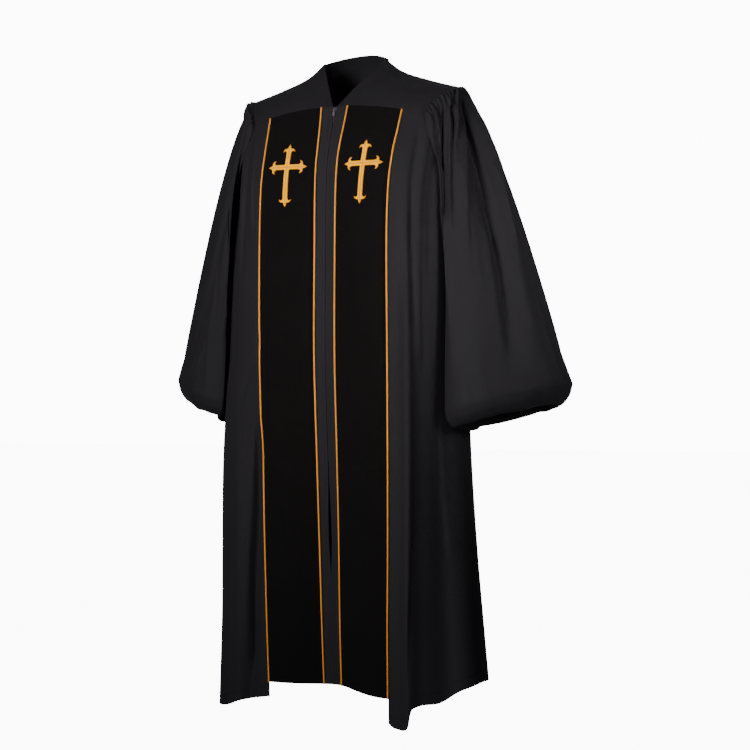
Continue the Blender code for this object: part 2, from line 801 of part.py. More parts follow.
def sleeve_rows(side):
    grids = []
    for station in FULL_STATIONS + HALF_STATIONS:
        grids.append([sleeve_point(side, c, station) for c in range(SLEEVE_COLUMNS)])
    for turn in SLEEVE_TURNS:
        ring = [sleeve_end(side, c, turn.inset, turn.drop) for c in range(SLEEVE_COLUMNS)]
        room = SLEEVE_CLEARANCE + turn.inset * TURN_ROOM
        grids.append([clear_of_body(side, point, room) for point in ring])
    rows = []
    count = SLEEVE_COLUMNS
    stations = FULL_STATIONS + HALF_STATIONS + (1.0,) * len(SLEEVE_TURNS)
    for n, grid in enumerate(grids):
        spots = []
        for c, point in enumerate(grid):
            along = grid[(c + 1) % count] - grid[c - 1]
            down = grids[min(n + 1, len(grids) - 1)][c] - grids[max(n - 1, 0)][c]
            normal = along.cross(down).normalized() * -1
            lift = sleeve_fold(side, c, stations[n])
            if c <= HEAD_COLUMNS:
                lift += FLUTE_HEIGHT * flute_share(stations[n]) * (1 if c % 2 else -1)
            spots.append(Spot(point + normal * lift, normal))
        if n >= len(FULL_STATIONS):
            spots = spots[::2]
        rows.append(spots)
    return rows


def sleeve(side):
    rows = sleeve_rows(side)
    ways = []
    for column, spot in enumerate(rows[0]):
        way = sleeve_start(side, column)[2]
        deep = -spot.normal
        deep = deep - way * min(deep.dot(way), 0.0)
        ways.append(Vector((side * deep.x, deep.y, deep.z)).normalized())
    rows = [mirrored(row, side) for row in rows]
    name = f"sleeve_{side_name(side)}"
    return link(cloth_wall(name, rows, CLOTH, True, side < 0, {0: ways}), *PLAIN)


# Trim


def piping(side, seam, place):
    points = []
    for row in range(ARM_ROWS + BODY_ROWS + 1):
        spot = front_spot(side, row, seam(row_z(0.0, row, VELVET_HEM_Z)))
        points.append(moved(spot.point, spot.normal, PIPING_RADIUS + SEAM_GAP * 1.5))
    curve = bpy.data.curves.new(f"piping_{place}_{side_name(side)}", "CURVE")
    curve.dimensions = "3D"
    curve.bevel_depth = PIPING_RADIUS
    curve.bevel_resolution = 1
    curve.use_fill_caps = True
    spline = curve.splines.new("POLY")
    spline.points.add(len(points) - 1)
    for spot, point in zip(spline.points, points):
        spot.co = (*point, 1.0)
    return link(bpy.data.objects.new(curve.name, curve), *GOLD)


def arm_outline(length, other_bar):
    """Half-plane outline of one arm, from one inner corner round its end to the next."""
    flank = [(f.across, length - f.back) for f in ARM_END]
    steps = int((length - ARM_END[-1].back - other_bar) / BAR_STEP)
    for step in range(1, steps + 1):
        flank.append((CROSS_BAR, length - ARM_END[-1].back - step * BAR_STEP))
    flank.append((CROSS_BAR, other_bar))
    return [(x, y) for x, y in reversed(flank)] + [(0.0, length)] + [(-x, y) for x, y in flank]


def cross_outline():
    outline = []
    for turn, length in enumerate((CROSS_UP, CROSS_SIDE, CROSS_DOWN, CROSS_SIDE)):
        angle = math.pi / 2 * turn
        cos, sin = math.cos(angle), math.sin(angle)
        for x, y in arm_outline(length, CROSS_BAR)[:-1]:
            outline.append((x * cos - y * sin, x * sin + y * cos))
    return outline


def velvet_spot(side, arc, z):
    """A spot on the flat facets of the velvet, so that trim keeps clear of them."""
    arcs = velvet_arcs(z)
    place = VELVET_COLUMNS * (arc - arcs[0]) / (arcs[-1] - arcs[0])
    column = min(max(int(place), 0), VELVET_COLUMNS - 1)
    across = place - column
    row = max(r for r in range(ARM_ROWS + BODY_ROWS) if row_z(arc, r, VELVET_HEM_Z) >= z)
    top = row_z(arc, row, VELVET_HEM_Z)
    down = (top - z) / (top - row_z(arc, row + 1, VELVET_HEM_Z))
    upper, lower = velvet_row(side, row), velvet_row(side, row + 1)
    corners = (upper[column], upper[column + 1], lower[column], lower[column + 1])
    weights = ((1 - across) * (1 - down), across * (1 - down), (1 - across) * down, across * down)
    point = sum((s.point * w for s, w in zip(corners, weights)), Vector())
    normal = sum((s.normal * w for s, w in zip(corners, weights)), Vector())
    return Spot(point, normal.normalized())


def cross(side):
    mesh = bmesh.new()
    mesh.faces.new([mesh.verts.new((x, y, 0.0)) for x, y in cross_outline()])
    for axis, low, high in ((0, -CROSS_SIDE, CROSS_SIDE), (1, -CROSS_DOWN, CROSS_UP)):
        across = Vector((1.0 - axis, axis, 0.0))
        for cut in range(math.ceil(low / CROSS_CUT), math.floor(high / CROSS_CUT) + 1):
            parts = mesh.verts[:] + mesh.edges[:] + mesh.faces[:]
            plane = across * CROSS_CUT * (cut + 0.5)
            bmesh.ops.bisect_plane(mesh, geom=parts, plane_co=plane, plane_no=across)
    made = bmesh.ops.triangulate(mesh, faces=mesh.faces[:], ngon_method="BEAUTY")["faces"]
    raised = bmesh.ops.extrude_face_region(mesh, geom=made)["geom"]
    top = {v for v in raised if isinstance(v, bmesh.types.BMVert)}
    for vertex in mesh.verts:
        spot = velvet_spot(side, CROSS_ARC + side * vertex.co.x, CROSS_Z + vertex.co.y)
        height = CROSS_LIFT + (CROSS_HEIGHT if vertex in top else 0.0)
        vertex.co = moved(spot.point, spot.normal, height)
    bmesh.ops.recalc_face_normals(mesh, faces=mesh.faces)
    data = bpy.data.meshes.new(f"cross_{side_name(side)}")
    mesh.to_mesh(data)
    mesh.free()
    return link(bpy.data.objects.new(data.name, data), *GOLD)


# Zip


def zip_tape(side):
    rows = []
    heights = [row_z(0.0, row, VELVET_HEM_Z) for row in range(ARM_ROWS + BODY_ROWS + 1)]
    heights[0] -= TAPE_TOP_DROP
    for z in [z for z in heights if z > ZIP_END_Z] + [ZIP_END_Z]:
        spots = []
        for arc in TAPE_ARCS:
            spot = body_spot(side, arc, z)
            spots.append(Spot(moved(spot.point, spot.normal, -CLOTH - TAPE_GAP), spot.normal))
        rows.append(spots)
    name = f"zip_tape_{side_name(side)}"
    return link(cloth_wall(name, rows, TAPE_CLOTH, False, side < 0), *ZIP_TAPE)


def block(width, depth, length, centre):
    """A box as a mesh: width across, depth out of the cloth, length along the zip."""
    mesh = bmesh.new()
    bmesh.ops.create_cube(mesh, size=1.0)
    bmesh.ops.scale(mesh, vec=(width, depth, length), verts=mesh.verts)
    bmesh.ops.translate(mesh, vec=centre, verts=mesh.verts)
    return mesh


def slider_frame():
    """Places what is drawn upright at the slider, tilted as the cloth is there."""
    low = body(1, SLIDER_NOTCH, SLIDER_Z - SLIDER_LENGTH / 2)
    high = body(1, SLIDER_NOTCH, SLIDER_Z + SLIDER_LENGTH / 2)
    tilt = math.atan2(high.y - low.y, high.z - low.z)
    middle = body(1, SLIDER_NOTCH, SLIDER_Z)
    return Matrix.Translation((0.0, middle.y, middle.z)) @ Matrix.Rotation(-tilt, 4, "X")


PIN_OUT = -(SLIDER_DEPTH - SLIDER_RECESS + PIN_LIFT)


def object_of(name, mesh):
    data = bpy.data.meshes.new(name)
    mesh.to_mesh(data)
    mesh.free()
    return bpy.data.objects.new(name, data)


def join_shapes(piece, others, cutters):
    """Adds the others to the piece, and the cutters' collection hides them all."""
    for other in others:
        other.hide_render = True
        other.display_type = "WIRE"
        cutters.objects.link(other)
        union = piece.modifiers.new(other.name, "BOOLEAN")
        union.operation = "UNION"
        union.object = other


def zip_slider(cutters):
    centre = SLIDER_RECESS - SLIDER_DEPTH / 2
    plate = object_of("zip_slider", block(SLIDER_WIDTH, SLIDER_DEPTH, SLIDER_LENGTH, (0, centre, 0)))
    bevel = plate.modifiers.new("round", "BEVEL")
    bevel.width = SLIDER_EDGE
    bevel.segments = 1
    face = SLIDER_RECESS - SLIDER_DEPTH
    legs = []
    for place in (-1, 1):
        depth = ARCH_REACH + ARCH_ROOT
        z = place * (ARCH_LENGTH - ARCH_BAR) / 2
        middle = (0, face + ARCH_ROOT - depth / 2, z)
        legs.append(object_of(f"arch_leg_{place}", block(ARCH_WIDTH, depth, ARCH_BAR, middle)))
    bar_size = (ARCH_WIDTH * BAR_SHARE, ARCH_BAR, ARCH_LENGTH * BAR_SHARE)
    bar = block(*bar_size, (0, face - ARCH_REACH + BAR_OUT, 0))
    join_shapes(plate, legs + [object_of("arch_bar", bar)], cutters)
    for piece in [plate] + legs + [bpy.data.objects["arch_bar"]]:
        piece.matrix_world = slider_frame()
    return link(plate, *ZIP_METAL)


def zip_pull(cutters):
    length = PULL_LENGTH
    plate = block(PULL_WIDTH, PULL_THICKNESS, length, (0, 0, EYE_BAR - length / 2))
    pull = object_of("zip_pull", plate)
    eye = object_of("pull_eye", block(EYE_WIDTH, 0.01, EYE_LENGTH, (0, 0, -EYE_BAR - EYE_LENGTH / 2)))
    eye.hide_render = True
    eye.display_type = "WIRE"
    cutters.objects.link(eye)
    cut = pull.modifiers.new("eye", "BOOLEAN")
    cut.operation = "DIFFERENCE"
    cut.object = eye
    place = slider_frame() @ Matrix.Translation((0, PIN_OUT, 0))
    pull.matrix_world = place
    eye.matrix_world = place
    return link(pull, *ZIP_METAL)


def main():
    clear_scene()
    scene = bpy.context.scene
    robe = bpy.data.collections.new("clergy_robe")
    cutters = bpy.data.collections.new("cutters")
    scene.collection.children.link(robe)
    scene.collection.children.link(cutters)
    for side in (1, -1):
        placket(side)
        velvet_panel(side)
        front_side(side)
        front_yoke(side)
        sleeve(side)
        piping(side, outer_seam, "outer")
        piping(side, inner_seam, "inner")
        cross(side)
        zip_tape(side)
    back_body()
    back_yoke()
    zip_slider(cutters)
    zip_pull(cutters)


main()
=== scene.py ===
# %% [markdown]
# # A clergy robe
# The real robe is black cloth with two velvet panels, gold piping and an embroidered
# cross on each panel. Every panel here is a thin wall of cloth, drawn from the same
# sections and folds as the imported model, only with far more points.

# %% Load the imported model
import json
import math
from collections import namedtuple

import bmesh
import bpy
import numpy as np
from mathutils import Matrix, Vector

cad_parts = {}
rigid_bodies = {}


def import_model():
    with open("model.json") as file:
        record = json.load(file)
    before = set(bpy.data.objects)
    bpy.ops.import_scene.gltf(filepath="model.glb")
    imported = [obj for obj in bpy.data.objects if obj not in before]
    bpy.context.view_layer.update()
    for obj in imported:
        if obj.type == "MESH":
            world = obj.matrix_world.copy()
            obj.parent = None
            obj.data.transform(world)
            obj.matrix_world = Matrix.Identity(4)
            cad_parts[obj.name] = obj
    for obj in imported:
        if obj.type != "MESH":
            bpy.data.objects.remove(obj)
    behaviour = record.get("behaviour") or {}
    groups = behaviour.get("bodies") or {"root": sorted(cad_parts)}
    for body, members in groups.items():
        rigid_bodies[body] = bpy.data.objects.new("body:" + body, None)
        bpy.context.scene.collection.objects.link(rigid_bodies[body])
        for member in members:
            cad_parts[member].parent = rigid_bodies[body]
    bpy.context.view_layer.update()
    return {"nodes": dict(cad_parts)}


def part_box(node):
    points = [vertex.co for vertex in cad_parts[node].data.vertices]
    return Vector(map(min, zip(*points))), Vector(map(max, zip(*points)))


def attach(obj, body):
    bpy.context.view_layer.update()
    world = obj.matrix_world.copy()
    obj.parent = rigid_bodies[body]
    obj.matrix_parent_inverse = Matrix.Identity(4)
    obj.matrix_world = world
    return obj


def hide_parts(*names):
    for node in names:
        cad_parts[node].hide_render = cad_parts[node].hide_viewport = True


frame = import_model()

print("nodes loaded:", len(frame["nodes"]))

# %% [markdown]
# ## Sizes
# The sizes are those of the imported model, in metres. Each table has one row for a
# section, a fold or a point of a hem, so a fold can be moved by changing one number.

# %% Sizes of the cut
CLOTH = 0.0016
VELVET_CLOTH = 0.0020
TAPE_CLOTH = 0.0010
SEAM_GAP = 0.0003
CORNER_ARC = 0.1960
YOKE_SEAM_Z = -0.101
YOKE_SEAM_DROP = 0.026
UNDERARM_Z = -0.335
VELVET_HEM_Z = -1.266
VELVET_HEM_DROP = 0.017
ZIP_END_Z = -0.815
TAPE_TOP_DROP = 0.001
PIPING_RADIUS = 0.00165
SIDE_NECK_X = 0.072
BACK_NECK_Y = 0.056
BACK_NECK_Z = 0.021
NECK_CURVES = {1: 2.0, -1: 1.25}
SHOULDER_X = 0.238
ARM_ROWS = 8
BODY_ROWS = 13
SLIDER_NOTCH = 0.0053
NOTCH_LENGTH = 0.046
SLIT_GAP = 0.0008
SLIT_HEM_GAP = 0.0002
SLIT_OPEN = 0.0026
SLIT_OPENS_Z = -0.84
SLIT_OPENS_OVER = 0.11
SLIT_CLOSED_Z = -1.06
SLIT_CLOSES_OVER = 0.10

Section = namedtuple("Section", "z left right front back dip")
SECTIONS = (
    Section(-0.080, 0.236, 0.236, -0.080, 0.094, 0.000),
    Section(-0.130, 0.238, 0.239, -0.097, 0.110, 0.004),
    Section(-0.210, 0.241, 0.246, -0.128, 0.120, 0.012),
    Section(-0.270, 0.243, 0.252, -0.142, 0.122, 0.020),
    Section(-0.380, 0.245, 0.259, -0.148, 0.112, 0.024),
    Section(-0.600, 0.248, 0.270, -0.146, 0.092, 0.020),
    Section(-0.800, 0.256, 0.286, -0.138, 0.084, 0.023),
    Section(-1.000, 0.270, 0.294, -0.130, 0.086, 0.026),
    Section(-1.140, 0.283, 0.297, -0.126, 0.090, 0.028),
    Section(-1.270, 0.295, 0.304, -0.120, 0.094, 0.030),
    Section(-1.350, 0.300, 0.308, -0.118, 0.096, 0.030),
)
Seam = namedtuple("Seam", "z inner outer")
SEAMS = (
    Seam(-0.100, 0.0300, 0.1510),
    Seam(-0.140, 0.0275, 0.1490),
    Seam(-0.200, 0.0245, 0.1465),
    Seam(-0.600, 0.0240, 0.1460),
    Seam(-0.900, 0.0235, 0.1435),
    Seam(-1.150, 0.0215, 0.1405),
    Seam(-1.350, 0.0205, 0.1385),
)
Hem = namedtuple("Hem", "arc z")
LEFT_HEM = (
    Hem(0.138, -1.330),
    Hem(0.148, -1.339),
    Hem(0.162, -1.343),
    Hem(0.174, -1.343),
    Hem(0.184, -1.334),
    Hem(0.191, -1.301),
    Hem(0.245, -1.290),
    Hem(0.300, -1.264),
    Hem(0.360, -1.252),
    Hem(0.660, -1.262),
)
RIGHT_HEM = (
    Hem(0.145, -1.296),
    Hem(0.200, -1.306),
    Hem(0.262, -1.324),
    Hem(0.310, -1.324),
    Hem(0.380, -1.300),
    Hem(0.660, -1.264),
)
Ridge = namedtuple("Ridge", "x z")
SHOULDER = (
    Ridge(0.072, 0.000),
    Ridge(0.108, -0.026),
    Ridge(0.165, -0.047),
    Ridge(0.238, -0.068),
)
SQUARENESS = 3.0
DIP_WIDTH = 0.060
print("sections of the body:", len(SECTIONS))

# %% [markdown]
# ## Folds
# A fold is a ridge, or a valley where its height is negative, that runs from one arc
# to another down the cloth. The first table holds the large folds that the packed
# model has too. The second holds the creases that only show in the light. A crease
# follows a path of depths below the neck and arcs. Its two flanks may differ in width.

# %% Folds of the body
Fold = namedtuple("Fold", "side top_arc end_arc top_z full_z width height")
BODY_FOLDS = (
    Fold(1, 0.187, 0.185, -0.30, -0.62, 0.0150, 0.013),
    Fold(1, 0.258, 0.262, -0.45, -0.95, 0.0450, -0.023),
    Fold(-1, 0.152, 0.194, -0.72, -1.00, 0.0120, -0.011),
    Fold(-1, 0.200, 0.224, -0.50, -1.05, 0.0200, 0.008),
    Fold(-1, 0.310, 0.330, -0.80, -1.20, 0.0240, -0.008),
)
Crease = namedtuple("Crease", "side path width back height")
CREASES = (
    Crease(1, ((0.16, 0.188), (0.33, 0.187), (0.50, 0.190), (0.70, 0.192), (0.90, 0.191),
               (1.05, 0.187), (1.28, 0.182)), 0.014, 0.0026, 0.0040),
    Crease(1, ((0.14, 0.192), (0.26, 0.190), (0.42, 0.195), (0.58, 0.198)), 0.005, 0.008, -0.0045),
    Crease(1, ((0.14, 0.215), (0.33, 0.211), (0.50, 0.209), (0.66, 0.211)), 0.009, 0.0035, 0.0045),
    Crease(1, ((0.15, 0.236), (0.33, 0.232), (0.48, 0.232)), 0.007, 0.007, -0.0028),
    Crease(1, ((0.72, 0.262), (0.85, 0.268), (1.02, 0.284)), 0.006, 0.014, 0.0024),
    Crease(-1, ((0.14, 0.180), (0.25, 0.176), (0.36, 0.170)), 0.006, 0.006, 0.0024),
    Crease(-1, ((0.14, 0.200), (0.28, 0.193), (0.46, 0.206)), 0.005, 0.008, -0.0038),
    Crease(-1, ((0.14, 0.218), (0.30, 0.212), (0.46, 0.222)), 0.008, 0.006, 0.0036),
    Crease(-1, ((0.55, 0.146), (0.60, 0.158), (0.65, 0.186), (0.73, 0.214)), 0.007, 0.003, -0.0030),
    Crease(-1, ((0.72, 0.158), (0.90, 0.170), (1.00, 0.180), (1.10, 0.186), (1.28, 0.191)),
           0.020, 0.0035, -0.0100),
    Crease(-1, ((0.18, 0.264), (0.30, 0.256), (0.42, 0.250), (0.68, 0.250)), 0.030, 0.022, -0.0150),
    Crease(1, ((0.40, 0.060), (0.56, 0.085)), 0.009, 0.009, 0.0010),
    Crease(-1, ((0.52, 0.075), (0.74, 0.050)), 0.010, 0.010, -0.0010),
    Crease(1, ((0.82, 0.100), (1.05, 0.070)), 0.011, 0.011, 0.0010),
    Crease(-1, ((0.90, 0.110), (1.16, 0.090)), 0.011, 0.011, 0.0012),
)
CREASE_FADE = 0.15
print("folds and creases:", len(BODY_FOLDS) + len(CREASES))

# %% [markdown]
# ## The body's surface
# Each level of the body is a rounded rectangle whose size comes from a smooth curve
# through the table of sections. The curves are worked out for many levels at once and
# kept as tables, so that a point is found from its level and its arc from centre front.

# %% Points of the body
LEVEL_Z = np.linspace(-0.06, -1.37, 330)
ARCS = np.linspace(-0.03, 0.80, 665)
SIDE_NAMES = {1: "left", -1: "right"}


def mix(a, b, share):
    return a + (b - a) * share


def ease(share):
    share = np.clip(share, 0.0, 1.0)
    return share * share * (3.0 - 2.0 * share)


def smooth(rows, key, column, at):
    """A column of a table on a smooth curve through its rows."""
    keys = np.array([getattr(row, key) for row in rows])
    values = np.array([getattr(row, column) for row in rows])
    at = np.asarray(at, float)
    if keys[0] > keys[-1]:
        keys, at = -keys, -at
    at = np.clip(at, keys[0], keys[-1])
    low = np.maximum(np.arange(len(keys)) - 1, 0)
    high = np.minimum(np.arange(len(keys)) + 1, len(keys) - 1)
    slopes = (values[high] - values[low]) / (keys[high] - keys[low])
    i = np.clip(np.searchsorted(keys, at, "right") - 1, 0, len(keys) - 2)
    step = keys[i + 1] - keys[i]
    t = (at - keys[i]) / step
    start = (2 * t**3 - 3 * t**2 + 1) * values[i] + (t**3 - 2 * t**2 + t) * slopes[i] * step
    end = (3 * t**2 - 2 * t**3) * values[i + 1] + (t**3 - t**2) * slopes[i + 1] * step
    return start + end


print("levels of the body:", len(LEVEL_Z))

# %% [markdown]
# ## Measuring along the cloth
# A cutter measures along the cloth, not through the air. Each level is therefore a
# curve whose length is added up from centre front, and a table turns that length, the
# arc, into X and Y. Solving for it at every point would give the same but far slower.

# %% Tables of the levels
def section_tables(side):
    """X and Y for every level and arc, and the arcs of the side seam and centre back."""
    half_width, front, back, dip = (
        smooth(SECTIONS, "z", column, LEVEL_Z)[:, None]
        for column in (SIDE_NAMES[side], "front", "back", "dip")
    )
    t = np.linspace(0.0, 1.0, 91)[None, :]
    angle = math.pi / 2 * t**1.5 / (t**1.5 + (1 - t) ** 1.5)
    x = half_width * np.sin(angle) ** (2 / SQUARENESS)
    reach = np.maximum(np.cos(angle), 0.0) ** (2 / SQUARENESS)
    front_y = front * reach + dip * np.exp(-((x / DIP_WIDTH) ** 2))
    xs = np.hstack([-x[:, 12:0:-1], x, x[:, -2::-1], -x[:, 1:12]])
    back_y = back * reach
    ys = np.hstack([front_y[:, 12:0:-1], front_y, back_y[:, -2::-1], back_y[:, 1:12]])
    arcs = np.cumsum(np.hypot(np.diff(xs, axis=1), np.diff(ys, axis=1)), axis=1)
    arcs = np.hstack([np.zeros((len(arcs), 1)), arcs])
    arcs = arcs - arcs[:, 12:13]
    table_x = np.array([np.interp(ARCS, a, row) for a, row in zip(arcs, xs)])
    table_y = np.array([np.interp(ARCS, a, row) for a, row in zip(arcs, ys)])
    return table_x, table_y, arcs[:, 12 + 90], arcs[:, 12 + 180]


TABLES = {side: section_tables(side) for side in (1, -1)}
print("entries of each table:", TABLES[1][0].size)


def side_arc(side, z):
    return np.interp(-np.asarray(z), -LEVEL_Z, TABLES[side][2])


def back_arc(side, z):
    return np.interp(-np.asarray(z), -LEVEL_Z, TABLES[side][3])


def inner_seam(z):
    return smooth(SEAMS, "z", "inner", z)


def outer_seam(z):
    return smooth(SEAMS, "z", "outer", z)


# %% [markdown]
# ## Laying folds on the surface
# A point is read between four entries of the tables and then moved out by its folds,
# square to the level's curve. Folds could be sculpted or simulated, but as rows of a
# table each one stays where the photograph shows it.

# %% A point with its folds
def plain_body(side, arc, z):
    level = (z - LEVEL_Z[0]) / (LEVEL_Z[1] - LEVEL_Z[0])
    place = (arc - ARCS[0]) / (ARCS[1] - ARCS[0])
    i = np.clip(level.astype(int), 0, len(LEVEL_Z) - 2)
    j = np.clip(place.astype(int), 0, len(ARCS) - 2)
    f, g = level - i, place - j
    found = []
    for table in TABLES[side][:2]:
        upper = mix(table[i, j], table[i, j + 1], g)
        lower = mix(table[i + 1, j], table[i + 1, j + 1], g)
        found.append(mix(upper, lower, f))
    return found


def crease_height(creases, side, along, across):
    """Height of the creases at a point. Each one fades in and out along its path."""
    height = np.zeros(np.broadcast(along, across).shape)
    for crease in creases:
        if crease.side != -side:
            places, centres = (np.array(column) for column in zip(*crease.path))
            away = across - np.interp(along, places, centres)
            run = (along - places[0]) / (places[-1] - places[0])
            fade = ease(run / CREASE_FADE) * ease((1.0 - run) / CREASE_FADE)
            width = np.where(away < 0, crease.width, crease.back)
            height += crease.height * fade * np.exp(-((away / width) ** 2))
    return height


def fold_height(side, arc, z, creased):
    height = np.zeros(np.broadcast(arc, z).shape)
    for fold in BODY_FOLDS:
        if fold.side == side:
            grown = ease((fold.top_z - z) / (fold.top_z - fold.full_z))
            run = np.clip((fold.top_z - z) / (fold.top_z + 1.30), 0.0, 1.0)
            across = (arc - mix(fold.top_arc, fold.end_arc, run)) / fold.width
            height += fold.height * grown * np.exp(-(across**2))
    if creased:
        height += crease_height(CREASES, side, -z, arc)
    return height


def body(side, arc, z, lift=0.0, creased=True):
    """Points of the body's outer face, as an array whose last axis is X, Y, Z."""
    arc, z = np.broadcast_arrays(np.asarray(arc, float), np.asarray(z, float))
    ahead = plain_body(side, arc + 0.002, z)
    behind = plain_body(side, arc - 0.002, z)
    along_x, along_y = ahead[0] - behind[0], ahead[1] - behind[1]
    length = np.hypot(along_x, along_y)
    x, y = plain_body(side, arc, z)
    height = fold_height(side, arc, z, creased) + lift
    x = x + along_y / length * height
    y = y - along_x / length * height
    return np.stack([side * x, y, z], axis=-1)


def unit(vectors):
    return vectors / np.linalg.norm(vectors, axis=-1, keepdims=True)


def body_normal(side, arc, z):
    step = 0.0025
    arc, z = np.broadcast_arrays(np.asarray(arc, float), np.asarray(z, float))
    along = body(side, arc + step, z) - body(side, arc - step, z)
    down = body(side, arc, z - step) - body(side, arc, z + step)
    return unit(np.cross(down, along) * side)


print("centre front at the chest:", body(1, 0.0, -0.30).round(3))

# %% [markdown]
# ## Seams, hems and rows
# The rows of every panel start at the yoke's seam, pass the underarm together and end
# at the hem, so that neighbouring panels share their seams.

# %% Heights of the seams, hems and rows
def seam_z(arc):
    return YOKE_SEAM_Z - YOKE_SEAM_DROP * (np.minimum(arc, CORNER_ARC) / CORNER_ARC) ** 2


BACK_SEAM_Z = float(seam_z(CORNER_ARC))


def hem_z(side, arc):
    return smooth(LEFT_HEM if side > 0 else RIGHT_HEM, "arc", "z", arc)


def velvet_hem_z(side, arc):
    drop = VELVET_HEM_DROP * ease(arc / outer_seam(VELVET_HEM_Z)) if side > 0 else 0.0
    return VELVET_HEM_Z - drop


def row_z(arc, row, bottom, top=None):
    """Height of a row: the first eight reach the underarm, the rest reach the hem."""
    top = seam_z(arc) - SEAM_GAP / 2 if top is None else top
    upper = mix(top, UNDERARM_Z, np.sin(math.pi / 2 * np.minimum(row / ARM_ROWS, 1.0)))
    lower = mix(UNDERARM_Z, bottom, (row - ARM_ROWS) / BODY_ROWS)
    return np.where(row <= ARM_ROWS, upper, lower)


def armhole_share(row):
    turn = math.pi / 2 * np.minimum(row, ARM_ROWS) / ARM_ROWS
    return np.sqrt(np.maximum(1.0 - np.cos(turn), 0.0))


def front_edge(side, row, z):
    """Arc of the armhole's front edge, and of the side seam below it."""
    share = armhole_share(row)
    return mix(CORNER_ARC, side_arc(side, z), share) - SEAM_GAP / 2 * (1.0 - share)


def back_edge(side, row, z):
    share = armhole_share(row)
    return mix(back_arc(side, z) - CORNER_ARC, side_arc(side, z), share) + SEAM_GAP / 2 * (1.0 - share)


left_hem_point = body(1, 0.2, -1.29)
print("a point of the left hem:", left_hem_point.round(3))

# %% [markdown]
# ## Finishes
# The plain cloth is a black polyester with a faint violet-grey sheen, and the panels
# are velvet, which takes the light only at a grazing angle. The weave, with painted
# shade between the crowns of its threads, and the slight unevenness of the dye are one
# node group, used by every cloth with its own values.

# %% Node group for woven cloth
def new_group(name, inputs, outputs):
    group = bpy.data.node_groups.new(name, "ShaderNodeTree")
    for label, kind, value in inputs:
        socket = group.interface.new_socket(label, in_out="INPUT", socket_type=kind)
        if value is not None:
            socket.default_value = value
    for label, kind in outputs:
        group.interface.new_socket(label, in_out="OUTPUT", socket_type=kind)
    return group, group.nodes.new("NodeGroupInput"), group.nodes.new("NodeGroupOutput")


def calculate(tree, operation, *values):
    node = tree.nodes.new("ShaderNodeMath")
    node.operation = operation
    for socket, value in zip(node.inputs, values):
        if isinstance(value, bpy.types.NodeSocket):
            tree.links.new(value, socket)
        else:
            socket.default_value = value
    return node.outputs[0]


def weave_group():
    """Threads over and under each other on the UV map, with painted shade between the threads' crowns
    and patches of uneven dye.
    """
    group, start, end = new_group(
        "woven cloth",
        [
            ("Threads", "NodeSocketFloat", 1600.0),
            ("Dark", "NodeSocketColor", (0.01, 0.01, 0.01, 1.0)),
            ("Light", "NodeSocketColor", (0.02, 0.02, 0.02, 1.0)),
            ("Patch size", "NodeSocketFloat", 9.0),
            ("Rough", "NodeSocketFloat", 0.6),
        ],
        [
            ("Color", "NodeSocketColor"),
            ("Roughness", "NodeSocketFloat"),
            ("Height", "NodeSocketFloat"),
        ],
    )
    links = group.links
    place = group.nodes.new("ShaderNodeUVMap")
    place.uv_map = "cloth"
    split = group.nodes.new("ShaderNodeSeparateXYZ")
    links.new(place.outputs[0], split.inputs[0])
    turns = [
        calculate(group, "MULTIPLY", split.outputs[axis], start.outputs["Threads"])
        for axis in (0, 1)
    ]
    waves = [calculate(group, "SINE", calculate(group, "MULTIPLY", t, math.pi)) for t in turns]
    over = calculate(group, "MULTIPLY", waves[0], waves[1])
    height = calculate(group, "MULTIPLY_ADD", over, 0.5, 0.5)
    where = group.nodes.new("ShaderNodeTexCoord")
    patches = group.nodes.new("ShaderNodeTexNoise")
    patches.inputs["Detail"].default_value = 3.0
    links.new(where.outputs["Object"], patches.inputs["Vector"])
    links.new(start.outputs["Patch size"], patches.inputs["Scale"])
    patch = calculate(group, "MULTIPLY", patches.outputs[0], 0.65)
    # Painted shade: the crowns of the threads are lighter than the hollows between them, and the noise
    # patches are uneven dye.
    shade = calculate(group, "MULTIPLY_ADD", height, 0.35, patch)
    colour = group.nodes.new("ShaderNodeMix")
    colour.data_type = "RGBA"
    links.new(shade, colour.inputs[0])
    links.new(start.outputs["Dark"], colour.inputs[6])
    links.new(start.outputs["Light"], colour.inputs[7])
    smoothest = calculate(group, "SUBTRACT", start.outputs["Rough"], 0.08)
    rough = calculate(group, "MULTIPLY_ADD", patches.outputs[0], 0.16, smoothest)
    links.new(colour.outputs[2], end.inputs["Color"])
    links.new(rough, end.inputs["Roughness"])
    links.new(height, end.inputs["Height"])
    return group


WEAVE = weave_group()
print("node group:", WEAVE.name)
